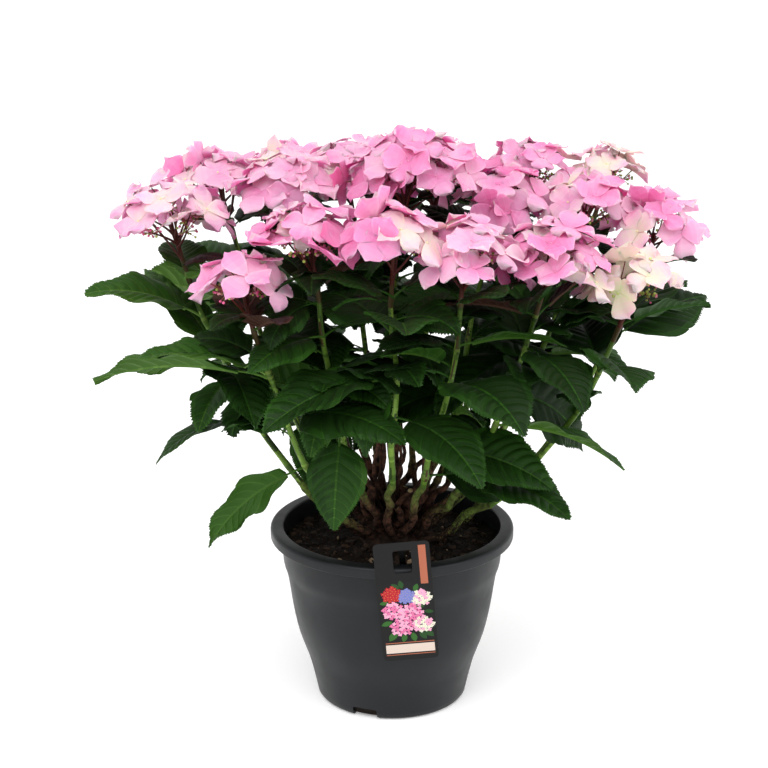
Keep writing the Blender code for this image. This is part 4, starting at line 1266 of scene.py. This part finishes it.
for number, (name, centre, facing, spin, size) in enumerate(florets):
    half_of_plant = part_of_plant(name).split("_")[0]
    side = Matrix.Rotation(spin, 3, facing) @ facing.orthogonal().normalized()
    tone = HEAD_TONES[name] + own.gauss(0, 1.5)
    if own.random() < (YOUNG_BELOW if number in young else YOUNG_ABOVE):
        tone = max(tone - own.uniform(2.5, 6.0), min(tone, 7.2))
    fade = own.uniform(0.4, 1.4) * (1.2 if tone < 12 else 0.7)
    if tone > 12 and own.random() < 0.65:
        fade = -own.uniform(0.6, 1.4)
    for quarter in range(4):
        turn = Matrix.Rotation(math.pi / 2 * quarter + own.uniform(-0.09, 0.09), 3, facing)
        along = np.array(turn @ side)
        across = np.cross(along, np.array(facing))
        local = petal(own, quarter % 2 == 0) * size
        points = (np.array(centre) + local[:, :1] * across + local[:, 1:2] * along
                  + local[:, 2:] * np.array(facing))
        row_fade = FADE_ROWS[petal_face_row] * fade + BLUSH_ROWS[petal_face_row] * max(0, fade)
        strips = np.array([own.uniform(-0.6, 0.6) for _ in range(6)])[petal_face_strip + 3]
        shade = tone + PINKER.get(name, 0) + row_fade + own.uniform(-1.0, 1.0) + strips
        # painted shade: the underside deeper pink; painted highlight: the thin rim paler
        shade += np.where(petal_face_under, 1.5, 0) - np.where(petal_face_rim, 1.3, 0)
        petal_parts[half_of_plant].append(
            (points, petal_sheet[1], np.clip(np.rint(shade), 0, len(PETAL_COLOURS) - 1)))
    eye_size = EYE_SIZE * own.uniform(0.85, 1.2)
    eyes.append((ball[0] * eye_size + np.array(centre + EYE_SIZE * facing), ball[1],
                 0 if tone < 7 else 1 if tone < 13 else 2))
    hub = min(hubs[name], key=lambda spot: (spot - centre).length)
    low = centre - 0.0008 * facing
    bend = hub.lerp(low, 0.55) - 0.35 * (low - hub).length * (0.6 * facing - 0.4 * UP)
    stalks.append((*laid(thread_rod, bowed(hub, bend, low, 7), np.linspace(*THREAD_RADII, 7)),
                   own.choice((1, 2, 2, 3))))

petal_finishes = tones("petal_pink", PETAL_COLOURS, 0.62, 0.22, 0.0016, 0.00025, 2.0)
for skin in petal_finishes:
    shader = skin.node_tree.nodes["Principled BSDF"]
    shader.inputs["Subsurface Weight"].default_value = 0.85
    shader.inputs["Subsurface Radius"].default_value = (1.0, 0.55, 0.75)
    shader.inputs["Subsurface Scale"].default_value = 0.0015
for half_of_plant, parts in petal_parts.items():
    piece(f"petals_{half_of_plant}", joined(f"petals_{half_of_plant}", parts, 62), petal_finishes,
          [f"shoot_{n}" for n in HEADS if part_of_plant(n).startswith(half_of_plant)])
for label, parts, colours, roughness in (
        ("floret_eyes", eyes, EYE_COLOURS, 0.5), ("flower_buds", buds, BUD_COLOURS, 0.45),
        ("flower_stalks", stalks, STALK_COLOURS, 0.5)):
    piece(label, joined(label, parts, 80), tones(label, colours, roughness, 0.3, 0.0010, 0.0001))

# ---- Floor and light ----------------------------------------------------------------------------
# A white studio: a floor painted matt white that glows a little, so that it is as white as the
# even surround, a broad soft light from high in front, a softer one from the right and a faint
# one from overhead.
FLOOR_GLOW, SURROUND = 0.22, 0.88
floor_shape = bmesh.new()
bmesh.ops.create_grid(floor_shape, x_segments=2, y_segments=2, size=30)
bmesh.ops.translate(floor_shape, verts=floor_shape.verts, vec=(0, 0, -0.0002))
floor_mesh = as_mesh("studio_floor", floor_shape)
floor_paint, shader = finish("matte_white_acrylic", "#F6F6F6", 0.9, 0.1)
shader.inputs["Emission Color"].default_value = (1, 1, 1, 1)
shader.inputs["Emission Strength"].default_value = FLOOR_GLOW
floor_mesh.materials.append(floor_paint)
floor = placed("studio_floor", floor_mesh)

world = bpy.data.worlds.new("studio")
bpy.context.scene.world = world
world.use_nodes = True
backdrop = world.node_tree.nodes["Background"]
backdrop.inputs["Color"].default_value = (1, 1, 1, 1)
seen = add(world, "ShaderNodeLightPath").outputs["Is Camera Ray"]
# it lights the plant a little less than it looks, which is white behind the floor's far edge
strength = add(world, "ShaderNodeMapRange", {"Value": seen, "To Min": SURROUND, "To Max": 1.0})
world.node_tree.links.new(strength.outputs["Result"], backdrop.inputs["Strength"])
bpy.context.scene.view_settings.view_transform = "Standard"


def softbox(name, place, aim, size, power):
    """A square soft light at a place, turned to a point."""
    light = bpy.data.lights.new(name, "AREA")
    light.size = size
    light.energy = power
    obj = placed(name, light)
    obj.location = place
    obj.rotation_euler = (Vector(aim) - Vector(place)).to_track_quat("-Z", "Y").to_euler()


softbox("key", (-0.8, -2.3, 3.2), (0, 0, 0.4), 2.4, 68)
softbox("fill", (2.6, -1.4, 1.6), (0, 0, 0.4), 1.6, 24)
sky = bpy.data.lights.new("overhead", "SUN")
sky.energy = 0.65
sky.angle = math.radians(100)
placed("overhead", sky).rotation_euler = (math.radians(25), 0, 0)
